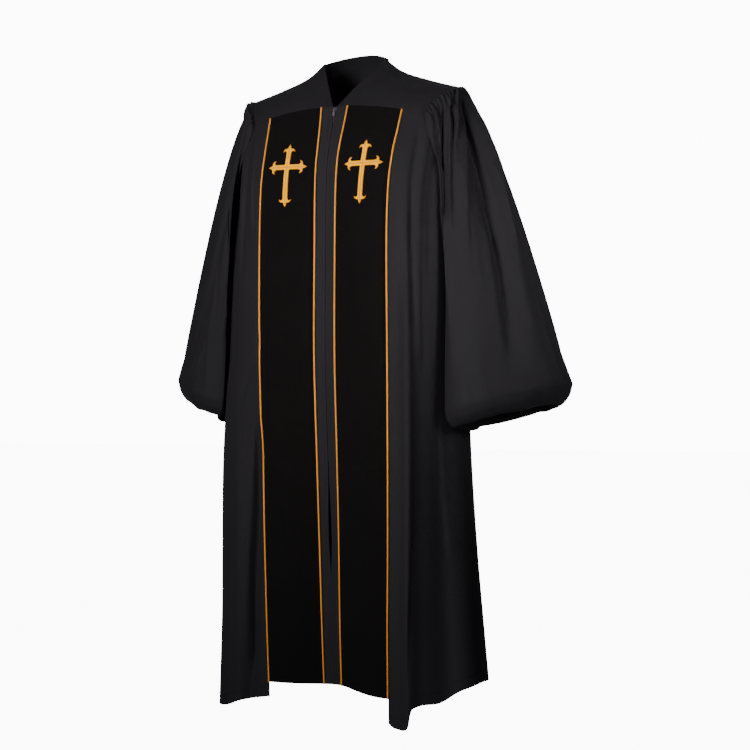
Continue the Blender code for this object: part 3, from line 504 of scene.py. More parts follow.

# %% [markdown]
# Cord and embroidery are thread, twisted or laid side by side. A second group draws
# the strands as slanting stripes on the UV map, which follows each cord and each arm
# of a cross, with a painted highlight on the strands' crowns and painted shade between
# the strands. Real strands would need far too many faces at this size.

# %% Node group for thread
def twist_group():
    """Slanting strands of thread on the UV map, with a painted highlight on their crowns and painted
    shade between them and wherever the groove attribute is set.
    """
    group, start, end = new_group(
        "twisted thread",
        [
            ("Strands", "NodeSocketFloat", 700.0),
            ("Slant", "NodeSocketFloat", 0.5),
            ("Dark", "NodeSocketColor", (0.4, 0.12, 0.01, 1.0)),
            ("Light", "NodeSocketColor", (0.9, 0.5, 0.08, 1.0)),
        ],
        [("Color", "NodeSocketColor"), ("Height", "NodeSocketFloat")],
    )
    links = group.links
    place = group.nodes.new("ShaderNodeUVMap")
    place.uv_map = "cloth"
    split = group.nodes.new("ShaderNodeSeparateXYZ")
    links.new(place.outputs[0], split.inputs[0])
    across = calculate(group, "MULTIPLY", split.outputs[0], start.outputs["Slant"])
    along = calculate(group, "ADD", across, split.outputs[1])
    turn = calculate(group, "MULTIPLY", along, start.outputs["Strands"])
    wave = calculate(group, "SINE", calculate(group, "MULTIPLY", turn, 2 * math.pi))
    height = calculate(group, "MULTIPLY_ADD", wave, 0.5, 0.5)
    colour = group.nodes.new("ShaderNodeMix")
    colour.data_type = "RGBA"
    # The groove attribute holds painted shade, for the groove of a cross and the sloping edges of its
    # arms.
    groove = group.nodes.new("ShaderNodeAttribute")
    groove.attribute_name = "groove"
    outside_painted_shade = calculate(group, "SUBTRACT", 1.0, groove.outputs["Fac"])
    crown_highlight_and_shade = calculate(group, "MULTIPLY", height, outside_painted_shade)
    links.new(crown_highlight_and_shade, colour.inputs[0])
    links.new(start.outputs["Dark"], colour.inputs[6])
    links.new(start.outputs["Light"], colour.inputs[7])
    links.new(colour.outputs[2], end.inputs["Color"])
    links.new(height, end.inputs["Height"])
    return group


TWIST = twist_group()
print("node group:", TWIST.name)

# %% [markdown]
# Each finish is a Principled shader with one of the groups in front of it. Values that
# vary over the cloth come from the group, and the rest are set on the shader itself.

# %% Materials
def material(name, group, values, bump, fixed):
    """A Principled material fed by a node group; fixed values sit on the shader itself."""
    made = bpy.data.materials.new(name)
    made.use_nodes = True
    tree = made.node_tree
    shader = tree.nodes["Principled BSDF"]
    for socket, value in fixed.items():
        shader.inputs[socket].default_value = value
    if group:
        node = tree.nodes.new("ShaderNodeGroup")
        node.node_tree = group
        for socket, value in values.items():
            node.inputs[socket].default_value = value
        tree.links.new(node.outputs["Color"], shader.inputs["Base Color"])
        if "Roughness" in node.outputs:
            tree.links.new(node.outputs["Roughness"], shader.inputs["Roughness"])
        raised = tree.nodes.new("ShaderNodeBump")
        raised.inputs["Strength"].default_value = bump[0]
        raised.inputs["Distance"].default_value = bump[1]
        tree.links.new(node.outputs["Height"], raised.inputs["Height"])
        tree.links.new(raised.outputs[0], shader.inputs["Normal"])
    return made


# Dark and Light of a weave span the painted shade between its threads and the uneven dye.
ROBE_CLOTH = material(
    "robe_cloth", WEAVE,
    {"Threads": 1500.0, "Dark": (0.0050, 0.0044, 0.0054, 1), "Light": (0.0084, 0.0074, 0.0090, 1),
     "Patch size": 7.0, "Rough": 0.74},
    (0.35, 0.0002),
    {"Sheen Weight": 0.02, "Sheen Roughness": 0.45, "Sheen Tint": (0.80, 0.74, 0.88, 1),
     "Specular IOR Level": 0.11},
)
VELVET_PILE = material(
    "velvet_pile", WEAVE,
    {"Threads": 900.0, "Dark": (0.0022, 0.0020, 0.0020, 1), "Light": (0.0044, 0.0039, 0.0039, 1),
     "Patch size": 16.0, "Rough": 0.95},
    (0.6, 0.0004),
    {"Sheen Weight": 0.034, "Sheen Roughness": 0.30, "Sheen Tint": (0.85, 0.80, 0.80, 1),
     "Specular IOR Level": 0.034},
)
# Dark and Light of a thread are the painted shade between strands and in a cross's groove and edges,
# and the painted highlight on the strands' crowns.
GOLD_CORD = material(
    "gold_cord", TWIST,
    {"Strands": 420.0, "Slant": 0.9, "Dark": (0.30, 0.080, 0.006, 1), "Light": (0.80, 0.34, 0.050, 1)},
    (0.7, 0.0004),
    {"Roughness": 0.50, "Metallic": 0.30, "Specular IOR Level": 0.0},
)
SATIN_STITCH = material(
    "satin_stitch", TWIST,
    {"Strands": 1300.0, "Slant": 0.0, "Dark": (0.55, 0.13, 0.0, 1), "Light": (1.0, 0.60, 0.0, 1)},
    (0.5, 0.0003),
    {"Roughness": 0.42, "Metallic": 0.20, "Specular IOR Level": 0.0},
)
TAPE_WEAVE = material(
    "tape_weave", WEAVE,
    {"Threads": 2200.0, "Dark": (0.006, 0.006, 0.007, 1), "Light": (0.014, 0.014, 0.016, 1),
     "Patch size": 30.0, "Rough": 0.75},
    (0.6, 0.0003),
    {"Sheen Weight": 0.1},
)
THREAD = material(
    "black_thread", None, {}, None,
    {"Base Color": (0.005, 0.005, 0.006, 1), "Roughness": 0.8, "Specular IOR Level": 0.05},
)
print("materials:", len(bpy.data.materials))

# %% [markdown]
# ## Making a wall of cloth
# A panel is a grid of points on its outer face. Its UV map is laid out in metres, so
# the weave keeps its scale. A Solidify modifier gives the wall its thickness inwards,
# and the result becomes a plain mesh with its faces pointing out.

# %% Cloth from a grid of points
def grid_uv(points, closed):
    """Distances across and down the cloth for every point of the grid."""
    ring = np.concatenate([points, points[:, :1]], axis=1) if closed else points
    across = np.linalg.norm(np.diff(ring, axis=1), axis=2)
    down = np.linalg.norm(np.diff(points, axis=0), axis=2)
    u = np.hstack([np.zeros((len(points), 1)), np.cumsum(across, axis=1)])
    u = np.broadcast_to(u.mean(axis=0), u.shape)
    v = np.vstack([np.zeros((1, points.shape[1])), -np.cumsum(down, axis=0)])
    v = np.hstack([v, v[:, :1]]) if closed else v
    return u, v


def plain_mesh(piece):
    """Turns the piece with its modifiers into a plain mesh, and removes the modifiers."""
    graph = bpy.context.evaluated_depsgraph_get()
    made = bpy.data.meshes.new_from_object(piece.evaluated_get(graph))
    piece.modifiers.clear()
    piece.data = made
    return piece


def new_piece(name, data, finish):
    piece = bpy.data.objects.new(name, data)
    bpy.context.scene.collection.objects.link(piece)
    piece.data.materials.append(finish)
    return piece


def triangles(piece):
    return sum(len(face.vertices) - 2 for face in piece.data.polygons)


def cloth(name, points, thickness, finish, flip=False, closed=False):
    rows, columns = points.shape[:2]
    wide = columns if closed else columns - 1
    i, j = np.meshgrid(np.arange(rows - 1), np.arange(wide), indexing="ij")
    a = (i * columns + j).ravel()
    b = (i * columns + (j + 1) % columns).ravel()
    faces = np.stack([a, a + columns, b + columns, b], axis=1)
    u, v = grid_uv(points, closed)
    corners = [(i, j), (i + 1, j), (i + 1, j + 1), (i, j + 1)]
    uv = np.stack([np.stack([u[r, c].ravel(), v[r, c].ravel()], axis=1) for r, c in corners], axis=1)
    if flip:
        faces, uv = faces[:, ::-1], uv[:, ::-1]
    data = bpy.data.meshes.new(name)
    data.from_pydata(points.reshape(-1, 3).tolist(), [], faces.tolist())
    layer = data.uv_layers.new(name="cloth")
    layer.uv.foreach_set("vector", uv.reshape(-1).astype(np.float32))
    piece = new_piece(name, data, finish)
    wall = piece.modifiers.new("wall", "SOLIDIFY")
    wall.thickness = thickness
    wall.offset = -1.0
    plain_mesh(piece)
    piece.data.shade_smooth()
    piece.data.set_sharp_from_angle(angle=math.radians(60))
    area = sum(face.area for face in piece.data.polygons) / 2
    print(f"{name}: {triangles(piece)} triangles, {area:.3f} square metres of cloth")
    return piece


FINE = 6
ROWS = np.linspace(0.0, ARM_ROWS + BODY_ROWS, (ARM_ROWS + BODY_ROWS) * FINE + 1)[:, None]
FRONT_Z = row_z(0.0, ROWS, VELVET_HEM_Z)
pieces = {}

# %% [markdown]
# ## The fronts
# The placket lies beside the zip, the velvet panel outside it, and the side panel of
# plain cloth runs from the velvet to the side seam. They meet edge to edge, with a
# gap of 0.3 mm at each seam, and the side seams below the sleeves close.

# %% Plackets, velvet panels and side panels
def slit_arc(z):
    """Half the width of the slit: a notch for the slider, closed, then open."""
    notch = SLIDER_NOTCH * (1.0 - np.clip((YOKE_SEAM_Z - z) / NOTCH_LENGTH, 0.0, 1.0))
    opening = ease((SLIT_OPENS_Z - z) / SLIT_OPENS_OVER)
    closing = ease((z - SLIT_CLOSED_Z) / SLIT_CLOSES_OVER)
    shut = ease((SLIT_CLOSED_Z + SLIT_CLOSES_OVER - z) / SLIT_CLOSES_OVER)
    return np.maximum(notch, mix(SLIT_GAP, SLIT_HEM_GAP, shut) + SLIT_OPEN * opening * closing)


def front_points(side, arcs):
    return body(side, arcs, row_z(arcs, ROWS, velvet_hem_z(side, arcs)))


def placket(side):
    shares = np.linspace(0.0, 1.0, 9)[None, :]
    points = front_points(side, mix(slit_arc(FRONT_Z), inner_seam(FRONT_Z) - SEAM_GAP / 2, shares))
    return cloth(f"placket_cloth_{SIDE_NAMES[side]}", points, CLOTH, ROBE_CLOTH, side < 0)


def velvet(side):
    shares = np.linspace(0.0, 1.0, 31)[None, :]
    first, last = inner_seam(FRONT_Z) + SEAM_GAP / 2, outer_seam(FRONT_Z) - SEAM_GAP / 2
    points = front_points(side, mix(first, last, shares))
    return cloth(f"velvet_{SIDE_NAMES[side]}", points, VELVET_CLOTH, VELVET_PILE, side < 0)


SIDE_COLUMNS = (0.0, 0.055, 0.12, 0.18, 0.22, 0.31, 0.45, 0.62, 0.81, 1.0)


def side_panel(side):
    shares = np.interp(np.linspace(0, 9, 9 * 7 + 1), range(10), SIDE_COLUMNS)[None, :]
    top_arc = mix(outer_seam(YOKE_SEAM_Z), CORNER_ARC, shares)
    hem_arc = mix(outer_seam(VELVET_HEM_Z), side_arc(side, VELVET_HEM_Z), shares)
    z = row_z(top_arc, ROWS, hem_z(side, hem_arc))
    start = outer_seam(FRONT_Z) + SEAM_GAP / 2
    arcs = mix(start, front_edge(side, ROWS, z), shares)
    return cloth(f"side_cloth_{SIDE_NAMES[side]}", body(side, arcs, z), CLOTH, ROBE_CLOTH, side < 0)


for side in (1, -1):
    name = SIDE_NAMES[side]
    pieces[f"placket_{name}"] = placket(side)
    pieces[f"velvet_panel_{name}"] = velvet(side)
    pieces[f"front_side_{name}"] = side_panel(side)

# %% [markdown]
# ## The back
# The back is cut wide and gathered under the yoke, and the gathers open into soft
# flutes towards the hem. The photograph doesn't show it, so its flutes are even.

# %% The gathered back
BACK_FLUTES = 4
TOP_FLUTE_DEPTH = 0.005
HEM_FLUTE_DEPTH = 0.018
GATHERS_PER_FLUTE = 3.5
GATHER_HEIGHT = 0.0022
GATHER_REACH = 0.10
GATHER_REACH_VARIES = 0.07
GATHER_START = 0.012


def back_flute(share, z):
    wave = 0.5 - 0.5 * np.cos(2 * math.pi * BACK_FLUTES * share)
    depth = mix(TOP_FLUTE_DEPTH, HEM_FLUTE_DEPTH, ease((BACK_SEAM_Z - z) / 1.0))
    return wave * depth * ease(share * 3.0) * ease((BACK_SEAM_Z - z) / 0.02)


def gathers(share, z):
    """Small puckers under the yoke, which fade out at different lengths."""
    turns = 2 * math.pi * BACK_FLUTES * GATHERS_PER_FLUTE * share
    wave = np.sin(turns + 2.0 * np.sin(5.0 * share))
    reach = GATHER_REACH + GATHER_REACH_VARIES * np.sin(9.0 * share)
    drop = BACK_SEAM_Z - z
    fade = ease(drop / GATHER_START) * (1.0 - ease(drop / reach)) * ease(share * 6.0)
    return GATHER_HEIGHT * wave * fade


def back_side_points(side):
    shares = np.linspace(0.0, 1.0, 81)[None, :]
    hem_arc = mix(side_arc(side, VELVET_HEM_Z), back_arc(side, VELVET_HEM_Z), shares)
    z = row_z(0.0, ROWS, hem_z(side, hem_arc), BACK_SEAM_Z - SEAM_GAP / 2)
    seam = side_arc(side, z)
    arcs = mix(seam, back_arc(side, z), shares)
    arcs = arcs + (back_edge(side, ROWS, z) - seam) * (1.0 - shares) ** 2
    return body(side, arcs, z, gathers(shares, z) - back_flute(shares, z))


right_back, left_back = back_side_points(-1), back_side_points(1)
back_points = np.concatenate([right_back[:, :-1], left_back[:, ::-1]], axis=1)
pieces["back_body"] = cloth("back_cloth", back_points, CLOTH, ROBE_CLOTH, True)

# %% [markdown]
# ## The yokes
# The yoke carries the robe. Each half of the front yoke runs from the seam over the
# chest up to the shoulder, and its inner edge makes the V of the neck. The back neck
# is a curve that rises to its middle, a little rounder on the wearer's right.

# %% Front and back yokes
YOKE_STEPS = 24
YOKE_BULGE = 0.012
NECK_BULGE = 0.003
UNDER_NECK = 0.30


def ridge_points(x):
    return np.stack([x, np.zeros_like(x), smooth(SHOULDER, "x", "z", x)], axis=-1)


def between(lower, upper, bulge, steps):
    share = np.linspace(0.0, 1.0, steps + 1)[:, None, None]
    return mix(lower[None], upper[None], share) + bulge[None] * 4.0 * share * (1.0 - share)


def front_yoke_points(side, steps=YOKE_STEPS, columns=49):
    share = np.linspace(0.0, 1.0, columns)
    arc = mix(SLIDER_NOTCH, CORNER_ARC - SEAM_GAP / 2, share)
    lower = body(side, arc, seam_z(arc) + SEAM_GAP / 2, creased=False)
    upper = ridge_points(mix(SIDE_NECK_X, SHOULDER_X - SEAM_GAP / 2, share)) * (side, 1, 1)
    upper[:, 1] = -SEAM_GAP / 2
    height = mix(NECK_BULGE, YOKE_BULGE, ease(share * 2.0))
    bulge = height[:, None] * np.array([0.0, -0.6, 0.8])
    return between(lower, upper, bulge, steps)


def half_back_yoke(side, shoulder_columns, neck_columns):
    """Lower and upper edge from the shoulder point to the centre of the back neck."""
    shoulder = np.linspace(1.0, 0.0, shoulder_columns + 1)[:-1]
    neck = np.linspace(0.0, 1.0, neck_columns + 1)
    over = ridge_points(mix(SIDE_NECK_X, SHOULDER_X - SEAM_GAP / 2, shoulder))
    over[:, 1] = SEAM_GAP / 2
    angle = math.pi / 2 * neck
    rise = BACK_NECK_Z * np.sin(angle) ** NECK_CURVES[side]
    reach = BACK_NECK_Y * np.sin(angle) + SEAM_GAP / 2
    round_neck = np.stack([SIDE_NECK_X * np.cos(angle), reach, rise], axis=-1)
    upper = np.concatenate([over, round_neck]) * (side, 1, 1)
    across = np.concatenate([mix(UNDER_NECK, 1.0, shoulder), UNDER_NECK * (1.0 - neck)])
    z = BACK_SEAM_Z + SEAM_GAP / 2
    arc = back_arc(side, z) - across * (CORNER_ARC - SEAM_GAP / 2)
    return body(side, arc, z, creased=False), upper


def back_yoke_points(steps=YOKE_STEPS, shoulder_columns=28, neck_columns=16):
    right = half_back_yoke(-1, shoulder_columns, neck_columns)
    left = half_back_yoke(1, shoulder_columns, neck_columns)
    lower, upper = (np.concatenate([r, l[-2::-1]]) for r, l in zip(right, left))
    bulge = np.broadcast_to(np.array([0.0, 0.6, 0.8]) * YOKE_BULGE, lower.shape)
    return between(lower, upper, bulge, steps)


for side in (1, -1):
    name = f"front_yoke_{SIDE_NAMES[side]}"
    pieces[name] = cloth(f"{name}_cloth", front_yoke_points(side), CLOTH, ROBE_CLOTH, side > 0)
pieces["back_yoke"] = cloth("back_yoke_cloth", back_yoke_points(), CLOTH, ROBE_CLOTH)

# %% [markdown]
# ## The sleeves
# A bell sleeve is gathered into the armhole and widens all the way down. Each point
# follows a smooth curve from the armhole to the hem ring. The gathers are a pucker
# for each small fold of cloth at the seam, and each fades out at its own length.

# %% Sizes and folds of the sleeves
YOKE_SEGMENTS = 12
SLEEVE_CENTRE_X = 0.331
SLEEVE_CENTRE_Y = 0.022
SLEEVE_LONG = 0.136
SLEEVE_SHORT = 0.093
SLEEVE_TURNED = math.radians(50)
SLEEVE_SQUARENESS = 2.2
SLEEVE_HEM_Z = {1: -0.693, -1: -0.678}
SLEEVE_HEM_SLOPE = 0.28
SLEEVE_CLEARANCE = 0.006
HEAD_TURN = math.radians(100)
UNDER_LEAVE = 0.07
OUTER_LEAVE = {1: 0.16, -1: 0.11}
SEAM_ROLL = 0.0005
HEM_LUMP = 0.0010
HEAD_COLUMNS = 48
ALL_COLUMNS = HEAD_COLUMNS + 2 * ARM_ROWS
PUCKER_HEIGHTS = (0.0066, 0.0098)
PUCKER_REACHES = (0.08, 0.16)
PUCKER_WIDTHS = (1.15, 1.5)
PUCKER_DRIFT = 0.06
PUCKER_START = 0.022
LONG_PUCKER = 0.12
CALM_RIDGE = 0.6
CALM_WIDTH = 3.5
STATIONS = (0.0, 0.025, 0.06, 0.105, 0.16, 0.22, 0.30, 0.40, 0.50, 0.60, 0.70, 0.80, 0.90, 1.0)
Turn = namedtuple("Turn", "ring inset drop")
SLEEVE_TURNS = (
    Turn(0, 0.000, 0.000),
    Turn(1, 0.006, 0.020),
    Turn(2, 0.020, 0.034),
    Turn(3, 0.036, 0.026),
    Turn(4, 0.040, 0.004),
)
SleeveFold = namedtuple("SleeveFold", "side column end_column start end width height")
SLEEVE_FOLDS = (
    SleeveFold(-1, 4.0, 3.0, 0.10, 0.70, 2.0, 0.007),
    SleeveFold(-1, 8.5, 11.0, 0.06, 0.97, 2.2, -0.018),
    SleeveFold(-1, 17.0, 18.5, 0.10, 0.92, 2.4, 0.010),
    SleeveFold(-1, 21.5, 20.5, 0.30, 0.95, 2.0, -0.009),
    SleeveFold(1, 10.5, 8.5, 0.10, 0.88, 3.6, 0.008),
    SleeveFold(1, 20.5, 12.8, 0.10, 0.97, 2.0, -0.014),
    SleeveFold(1, 27.0, 17.5, 0.14, 0.95, 2.2, 0.007),
    SleeveFold(0, 31.0, 30.0, 0.12, 0.90, 2.6, 0.010),
    SleeveFold(0, 38.0, 37.0, 0.08, 0.96, 2.2, -0.016),
    SleeveFold(0, 44.0, 45.0, 0.12, 0.80, 2.0, 0.008),
)
SLEEVE_CREASES = (
    Crease(1, ((0.10, 10.4), (0.19, 8.0), (0.30, 5.0), (0.40, 3.0), (0.52, 0.8)), 0.8, 0.5, -0.0055),
    Crease(1, ((0.05, 14.6), (0.16, 12.0), (0.22, 10.7), (0.30, 8.0), (0.40, 5.5), (0.54, 3.2)),
           0.9, 0.9, 0.0060),
    Crease(1, ((0.12, 14.0), (0.22, 12.2), (0.30, 9.8), (0.40, 7.0), (0.52, 4.6)), 0.4, 0.4, -0.0030),
    Crease(1, ((0.04, 20.2), (0.12, 18.0), (0.22, 14.5), (0.295, 11.4)), 1.0, 1.0, 0.0070),
    Crease(1, ((0.10, 22.4), (0.22, 19.0), (0.30, 15.8), (0.40, 12.6), (0.50, 9.6), (0.64, 7.2)),
           2.6, 0.6, 0.0060),
    Crease(1, ((0.10, 21.0), (0.30, 17.9), (0.42, 16.4), (0.60, 15.0)), 2.0, 0.7, -0.0085),
    Crease(1, ((0.12, 20.6), (0.92, 12.9)), 0.8, 0.8, -0.0040),
    Crease(1, ((0.16, 18.6), (0.90, 11.2)), 1.2, 1.2, 0.0030),
    Crease(1, ((0.20, 25.6), (0.80, 17.6)), 1.6, 1.6, 0.0020),
    Crease(1, ((0.30, 26.4), (0.36, 25.5), (0.45, 23.5), (0.53, 22.6), (0.64, 21.8)), 0.9, 0.4, 0.0025),
    Crease(1, ((0.34, 11.4), (0.74, 9.6)), 0.9, 0.9, 0.0016),
    Crease(-1, ((0.05, 6.2), (0.45, 5.8)), 0.9, 0.9, 0.0030),
    Crease(-1, ((0.40, 8.6), (0.56, 7.2), (0.68, 4.6), (0.81, 3.2), (0.96, 1.5)), 0.7, 0.5, 0.0034),
    Crease(-1, ((0.78, 3.0), (0.85, 4.6), (0.91, 6.2), (0.98, 8.0)), 0.5, 0.7, 0.0034),
    Crease(0, ((0.08, 34.0), (0.70, 33.5)), 1.4, 1.4, -0.0050),
    Crease(0, ((0.10, 41.0), (0.80, 41.5)), 1.4, 1.4, 0.0050),
)
print("folds of each sleeve:", len(SLEEVE_FOLDS) + len(SLEEVE_CREASES))

# %% The seam round the armhole
def mirror(points, side):
    return points * np.array([side, 1.0, 1.0])


def armhole_points(side, place):
    """Points of the armhole's edge: up the front yoke, down the back, under and up."""
    found = np.zeros((len(place), 3))
    front_yoke = front_yoke_points(side, 96)[:, -1]
    back_yoke = back_yoke_points(96)[:, -1 if side > 0 else 0]
    yoke = np.concatenate([front_yoke, back_yoke[-2::-1]])
    along_yoke = np.linspace(0.0, YOKE_SEGMENTS, len(yoke))
    on_yoke = place <= YOKE_SEGMENTS
    for axis in range(3):
        found[on_yoke, axis] = np.interp(place[on_yoke], along_yoke, yoke[:, axis])
    behind = (place > YOKE_SEGMENTS) & (place <= YOKE_SEGMENTS + ARM_ROWS)
    row = place[behind] - YOKE_SEGMENTS
    z = row_z(0.0, row, UNDERARM_Z, BACK_SEAM_Z - SEAM_GAP / 2)
    found[behind] = body(side, back_edge(side, row, z), z, creased=False)
    ahead = place > YOKE_SEGMENTS + ARM_ROWS
    row = YOKE_SEGMENTS + 2 * ARM_ROWS - place[ahead]
    z = row_z(CORNER_ARC, row, UNDERARM_Z)
    found[ahead] = body(side, front_edge(side, row, z), z, creased=False)
    return mirror(found, side)


def armhole_normals(side):
    """The cloth's normals at the main points of the edge."""
    rows = YOKE_SEGMENTS // 2
    normals = []
    grids = (front_yoke_points(side, rows, 10), back_yoke_points(rows, 7, 4))
    for grid, away, edge in zip(grids, (side, -1), (-1, -1 if side > 0 else 0)):
        inner = edge - 1 if edge == -1 else 1
        along = (grid[:, edge] - grid[:, inner]) * (1 if edge == -1 else -1)
        up = np.gradient(grid[:, edge], axis=0)
        normal = unit(np.cross(along, up)) * away
        normal[-1] = unit(np.array([side * 0.28, 0.0, 1.0]))
        normals.append(normal)
    normals[0][0] = body_normal(side, CORNER_ARC, BACK_SEAM_Z)
    normals[1][0] = body_normal(side, back_arc(side, BACK_SEAM_Z) - CORNER_ARC, BACK_SEAM_Z)
    row = np.arange(1, ARM_ROWS + 1)
    z = row_z(0.0, row, UNDERARM_Z, BACK_SEAM_Z)
    behind = body_normal(side, back_edge(side, row, z), z)
    z = row_z(CORNER_ARC, row[-2::-1], UNDERARM_Z)
    ahead = body_normal(side, front_edge(side, row[-2::-1], z), z)
    ring = np.concatenate([normals[0], normals[1][-2::-1], behind, ahead])
    return mirror(ring, side)


def round_ring(values, place):
    """Values at the main points of the ring, taken at any place round it."""
    closed = np.concatenate([values, values[:1]])
    places = np.arange(len(closed))
    return np.stack([np.interp(place, places, closed[:, axis]) for axis in range(3)], axis=-1)


def column_place(column):
    return np.where(column < HEAD_COLUMNS, column / 4, YOKE_SEGMENTS + column - HEAD_COLUMNS)


def sleeve_seam(side, column):
    """Point, normal and way across the seam for each column of the sleeve."""
    main = np.arange(YOKE_SEGMENTS + 2 * ARM_ROWS, dtype=float)
    main_points, main_normals = armhole_points(side, main), armhole_normals(side)
    along = np.roll(main_points, -1, axis=0) - np.roll(main_points, 1, axis=0)
    main_ways = unit(np.cross(along, main_normals))
    place = column_place(column)
    normals = unit(round_ring(main_normals, place))
    return armhole_points(side, place), normals, unit(round_ring(main_ways, place))


ring = armhole_points(1, np.arange(YOKE_SEGMENTS + 2.0 * ARM_ROWS))
length = np.linalg.norm(ring - np.roll(ring, 1, axis=0), axis=1).sum()
print(f"round the left armhole: {length:.3f} m")

# %% [markdown]
# ## The hem of a sleeve
# The hem's edge is a slanting oval whose long way points outwards and back. A sleeve
# hangs close to the body, so its points are pushed out level where they come too near.

# %% The hem's edge, clear of the body
def sleeve_angle(column):
    head = mix(-HEAD_TURN, HEAD_TURN, column / HEAD_COLUMNS)
    under = (column - HEAD_COLUMNS) / (ALL_COLUMNS - HEAD_COLUMNS)
    return np.where(column <= HEAD_COLUMNS, head, mix(HEAD_TURN, 2 * math.pi - HEAD_TURN, under))


def sleeve_end(side, column, inset=0.0, drop=0.0):
    angle = sleeve_angle(column) - SLEEVE_TURNED
    power = 2 / SLEEVE_SQUARENESS
    cos, sin = np.cos(angle), np.sin(angle)
    long_way = np.sign(cos) * abs(cos) ** power * (SLEEVE_LONG - inset)
    short_way = np.sign(sin) * abs(sin) ** power * (SLEEVE_SHORT - inset)
    cos, sin = math.cos(SLEEVE_TURNED), math.sin(SLEEVE_TURNED)
    x = long_way * cos - short_way * sin
    y = long_way * sin + short_way * cos
    z = SLEEVE_HEM_Z[side] + SLEEVE_HEM_SLOPE * x - drop
    return np.stack([SLEEVE_CENTRE_X + x, SLEEVE_CENTRE_Y + y, z], axis=-1)


def clear_of_body(side, points, clearance):
    """Moves points out, level, until they are this far from the body."""
    z = points[..., 2]
    half_width = smooth(SECTIONS, "z", SIDE_NAMES[side], z) + clearance
    front, back = (abs(smooth(SECTIONS, "z", column, z)) for column in ("front", "back"))
    reach = np.where(points[..., 1] < 0, front, back) + clearance
    inside = abs(points[..., 0] / half_width) ** SQUARENESS
    inside = inside + abs(points[..., 1] / reach) ** SQUARENESS
    grown = np.where((inside < 1.0) & (clearance > 0), inside ** (-1 / SQUARENESS), 1.0)
    return points * np.stack([grown, grown, np.ones_like(grown)], axis=-1)


print("left hem, front to back:", sleeve_end(1, np.array([12.0, 36.0])).round(3).tolist())

# %% [markdown]
# ## Folds and puckers of a sleeve
# The large folds slant down the sleeve as its weight pulls them. The puckers start at
# the seam, where the gathering thread draws the cloth up, and die out below it.

# %% Folds and puckers
def fold_lift(side, column, station):
    lift = np.zeros(np.broadcast(column, station).shape)
    for fold in SLEEVE_FOLDS:
        if fold.side != -side:
            run = np.clip((station - fold.start) / (fold.end - fold.start), 0.0, 1.0)
            centre = mix(fold.column, fold.end_column, run)
            grown = np.sin(math.pi * run) ** 0.7
            lift += fold.height * grown * np.exp(-(((column - centre) / fold.width) ** 2))
    return lift


def pucker_lift(side, column, station):
    """Round puckers, one for every two columns, and lower on the ridge of the shoulder."""
    lift = np.zeros(np.broadcast(column, station).shape)
    chance = np.random.default_rng(7 if side > 0 else 8)
    for n in range(HEAD_COLUMNS // 2):
        centre = 2.0 * n + 1.0 + chance.uniform(-0.25, 0.25)
        reach = chance.uniform(*PUCKER_REACHES) + (LONG_PUCKER if n % 5 == 2 else 0.0)
        from_ridge = centre - HEAD_COLUMNS / 2
        calm = 1.0 - CALM_RIDGE * math.exp(-((from_ridge / CALM_WIDTH) ** 2))
        height = chance.uniform(*PUCKER_HEIGHTS) * calm
        drift = from_ridge * PUCKER_DRIFT * station
        across = (column - centre - drift) / mix(*PUCKER_WIDTHS, ease(station / 0.3))
        bump = np.sqrt(np.maximum(0.0, 1.0 - across**2))
        fade = ease(station / PUCKER_START) * (1.0 - ease((station - 0.03) / reach))
        lift = np.maximum(lift, height * bump * fade)
    return lift


def hem_lumps(side, column, station):
    """The turned-in hem is soft, so its edge swells a little between the stitches."""
    turn = 2 * math.pi * column / ALL_COLUMNS
    lumps = np.sin(5 * turn + side) + 0.6 * np.sin(9 * turn + 2.0) + 0.4 * np.sin(14 * turn)
    return HEM_LUMP * lumps * ease((station - 0.80) / 0.20)


print("highest pucker on the left:", pucker_lift(1, np.arange(0.0, 48.0, 0.1), 0.03).max().round(4))

# %% [markdown]
# ## The whole sleeve
# The cloth hangs from the armhole in one run of curves and curls under at the hem in
# another. Both are lifted by the folds along the surface's own normals.

# %% Sleeves
def surface_normals(points):
    along = np.roll(points, -1, axis=1) - np.roll(points, 1, axis=1)
    return -unit(np.cross(along, np.gradient(points, axis=0)))


def hanging_cloth(side, column, station):
    """Smooth curves that leave the armhole at right angles and fall to the hem's edge."""
    start, normal, way = sleeve_seam(side, column)
    start = start + (way + normal) * SEAM_ROLL
    rising = np.maximum(0.0, way[:, 2:3])
    leave = unit(way * (1.0 - rising) + normal * (0.25 + rising) + np.array([0, 0, -0.25]))
    end = sleeve_end(side, column)
    outer = np.maximum(0.0, np.cos(sleeve_angle(column)))[:, None]
    first = leave * mix(UNDER_LEAVE, OUTER_LEAVE[side], outer)
    t = station[..., None]
    points = start * (2 * t**3 - 3 * t**2 + 1) + first * (t**3 - 2 * t**2 + t)
    points = points + end * (3 * t**2 - 2 * t**3) + (end - start) * (t**3 - t**2)
    return clear_of_body(side, points, SLEEVE_CLEARANCE * ease(station / 0.12))


def turned_hem(side, column):
    """Rings that curl under and in from the hem's edge, as puffed cloth does."""
    rings = np.linspace(0.0, len(SLEEVE_TURNS) - 1.0, 25)[1:]
    insets = smooth(SLEEVE_TURNS, "ring", "inset", rings)
    drops = smooth(SLEEVE_TURNS, "ring", "drop", rings)
    turned = np.stack([sleeve_end(side, column, i, d) for i, d in zip(insets, drops)])
    return clear_of_body(side, turned, SLEEVE_CLEARANCE + insets[:, None] * 0.4)


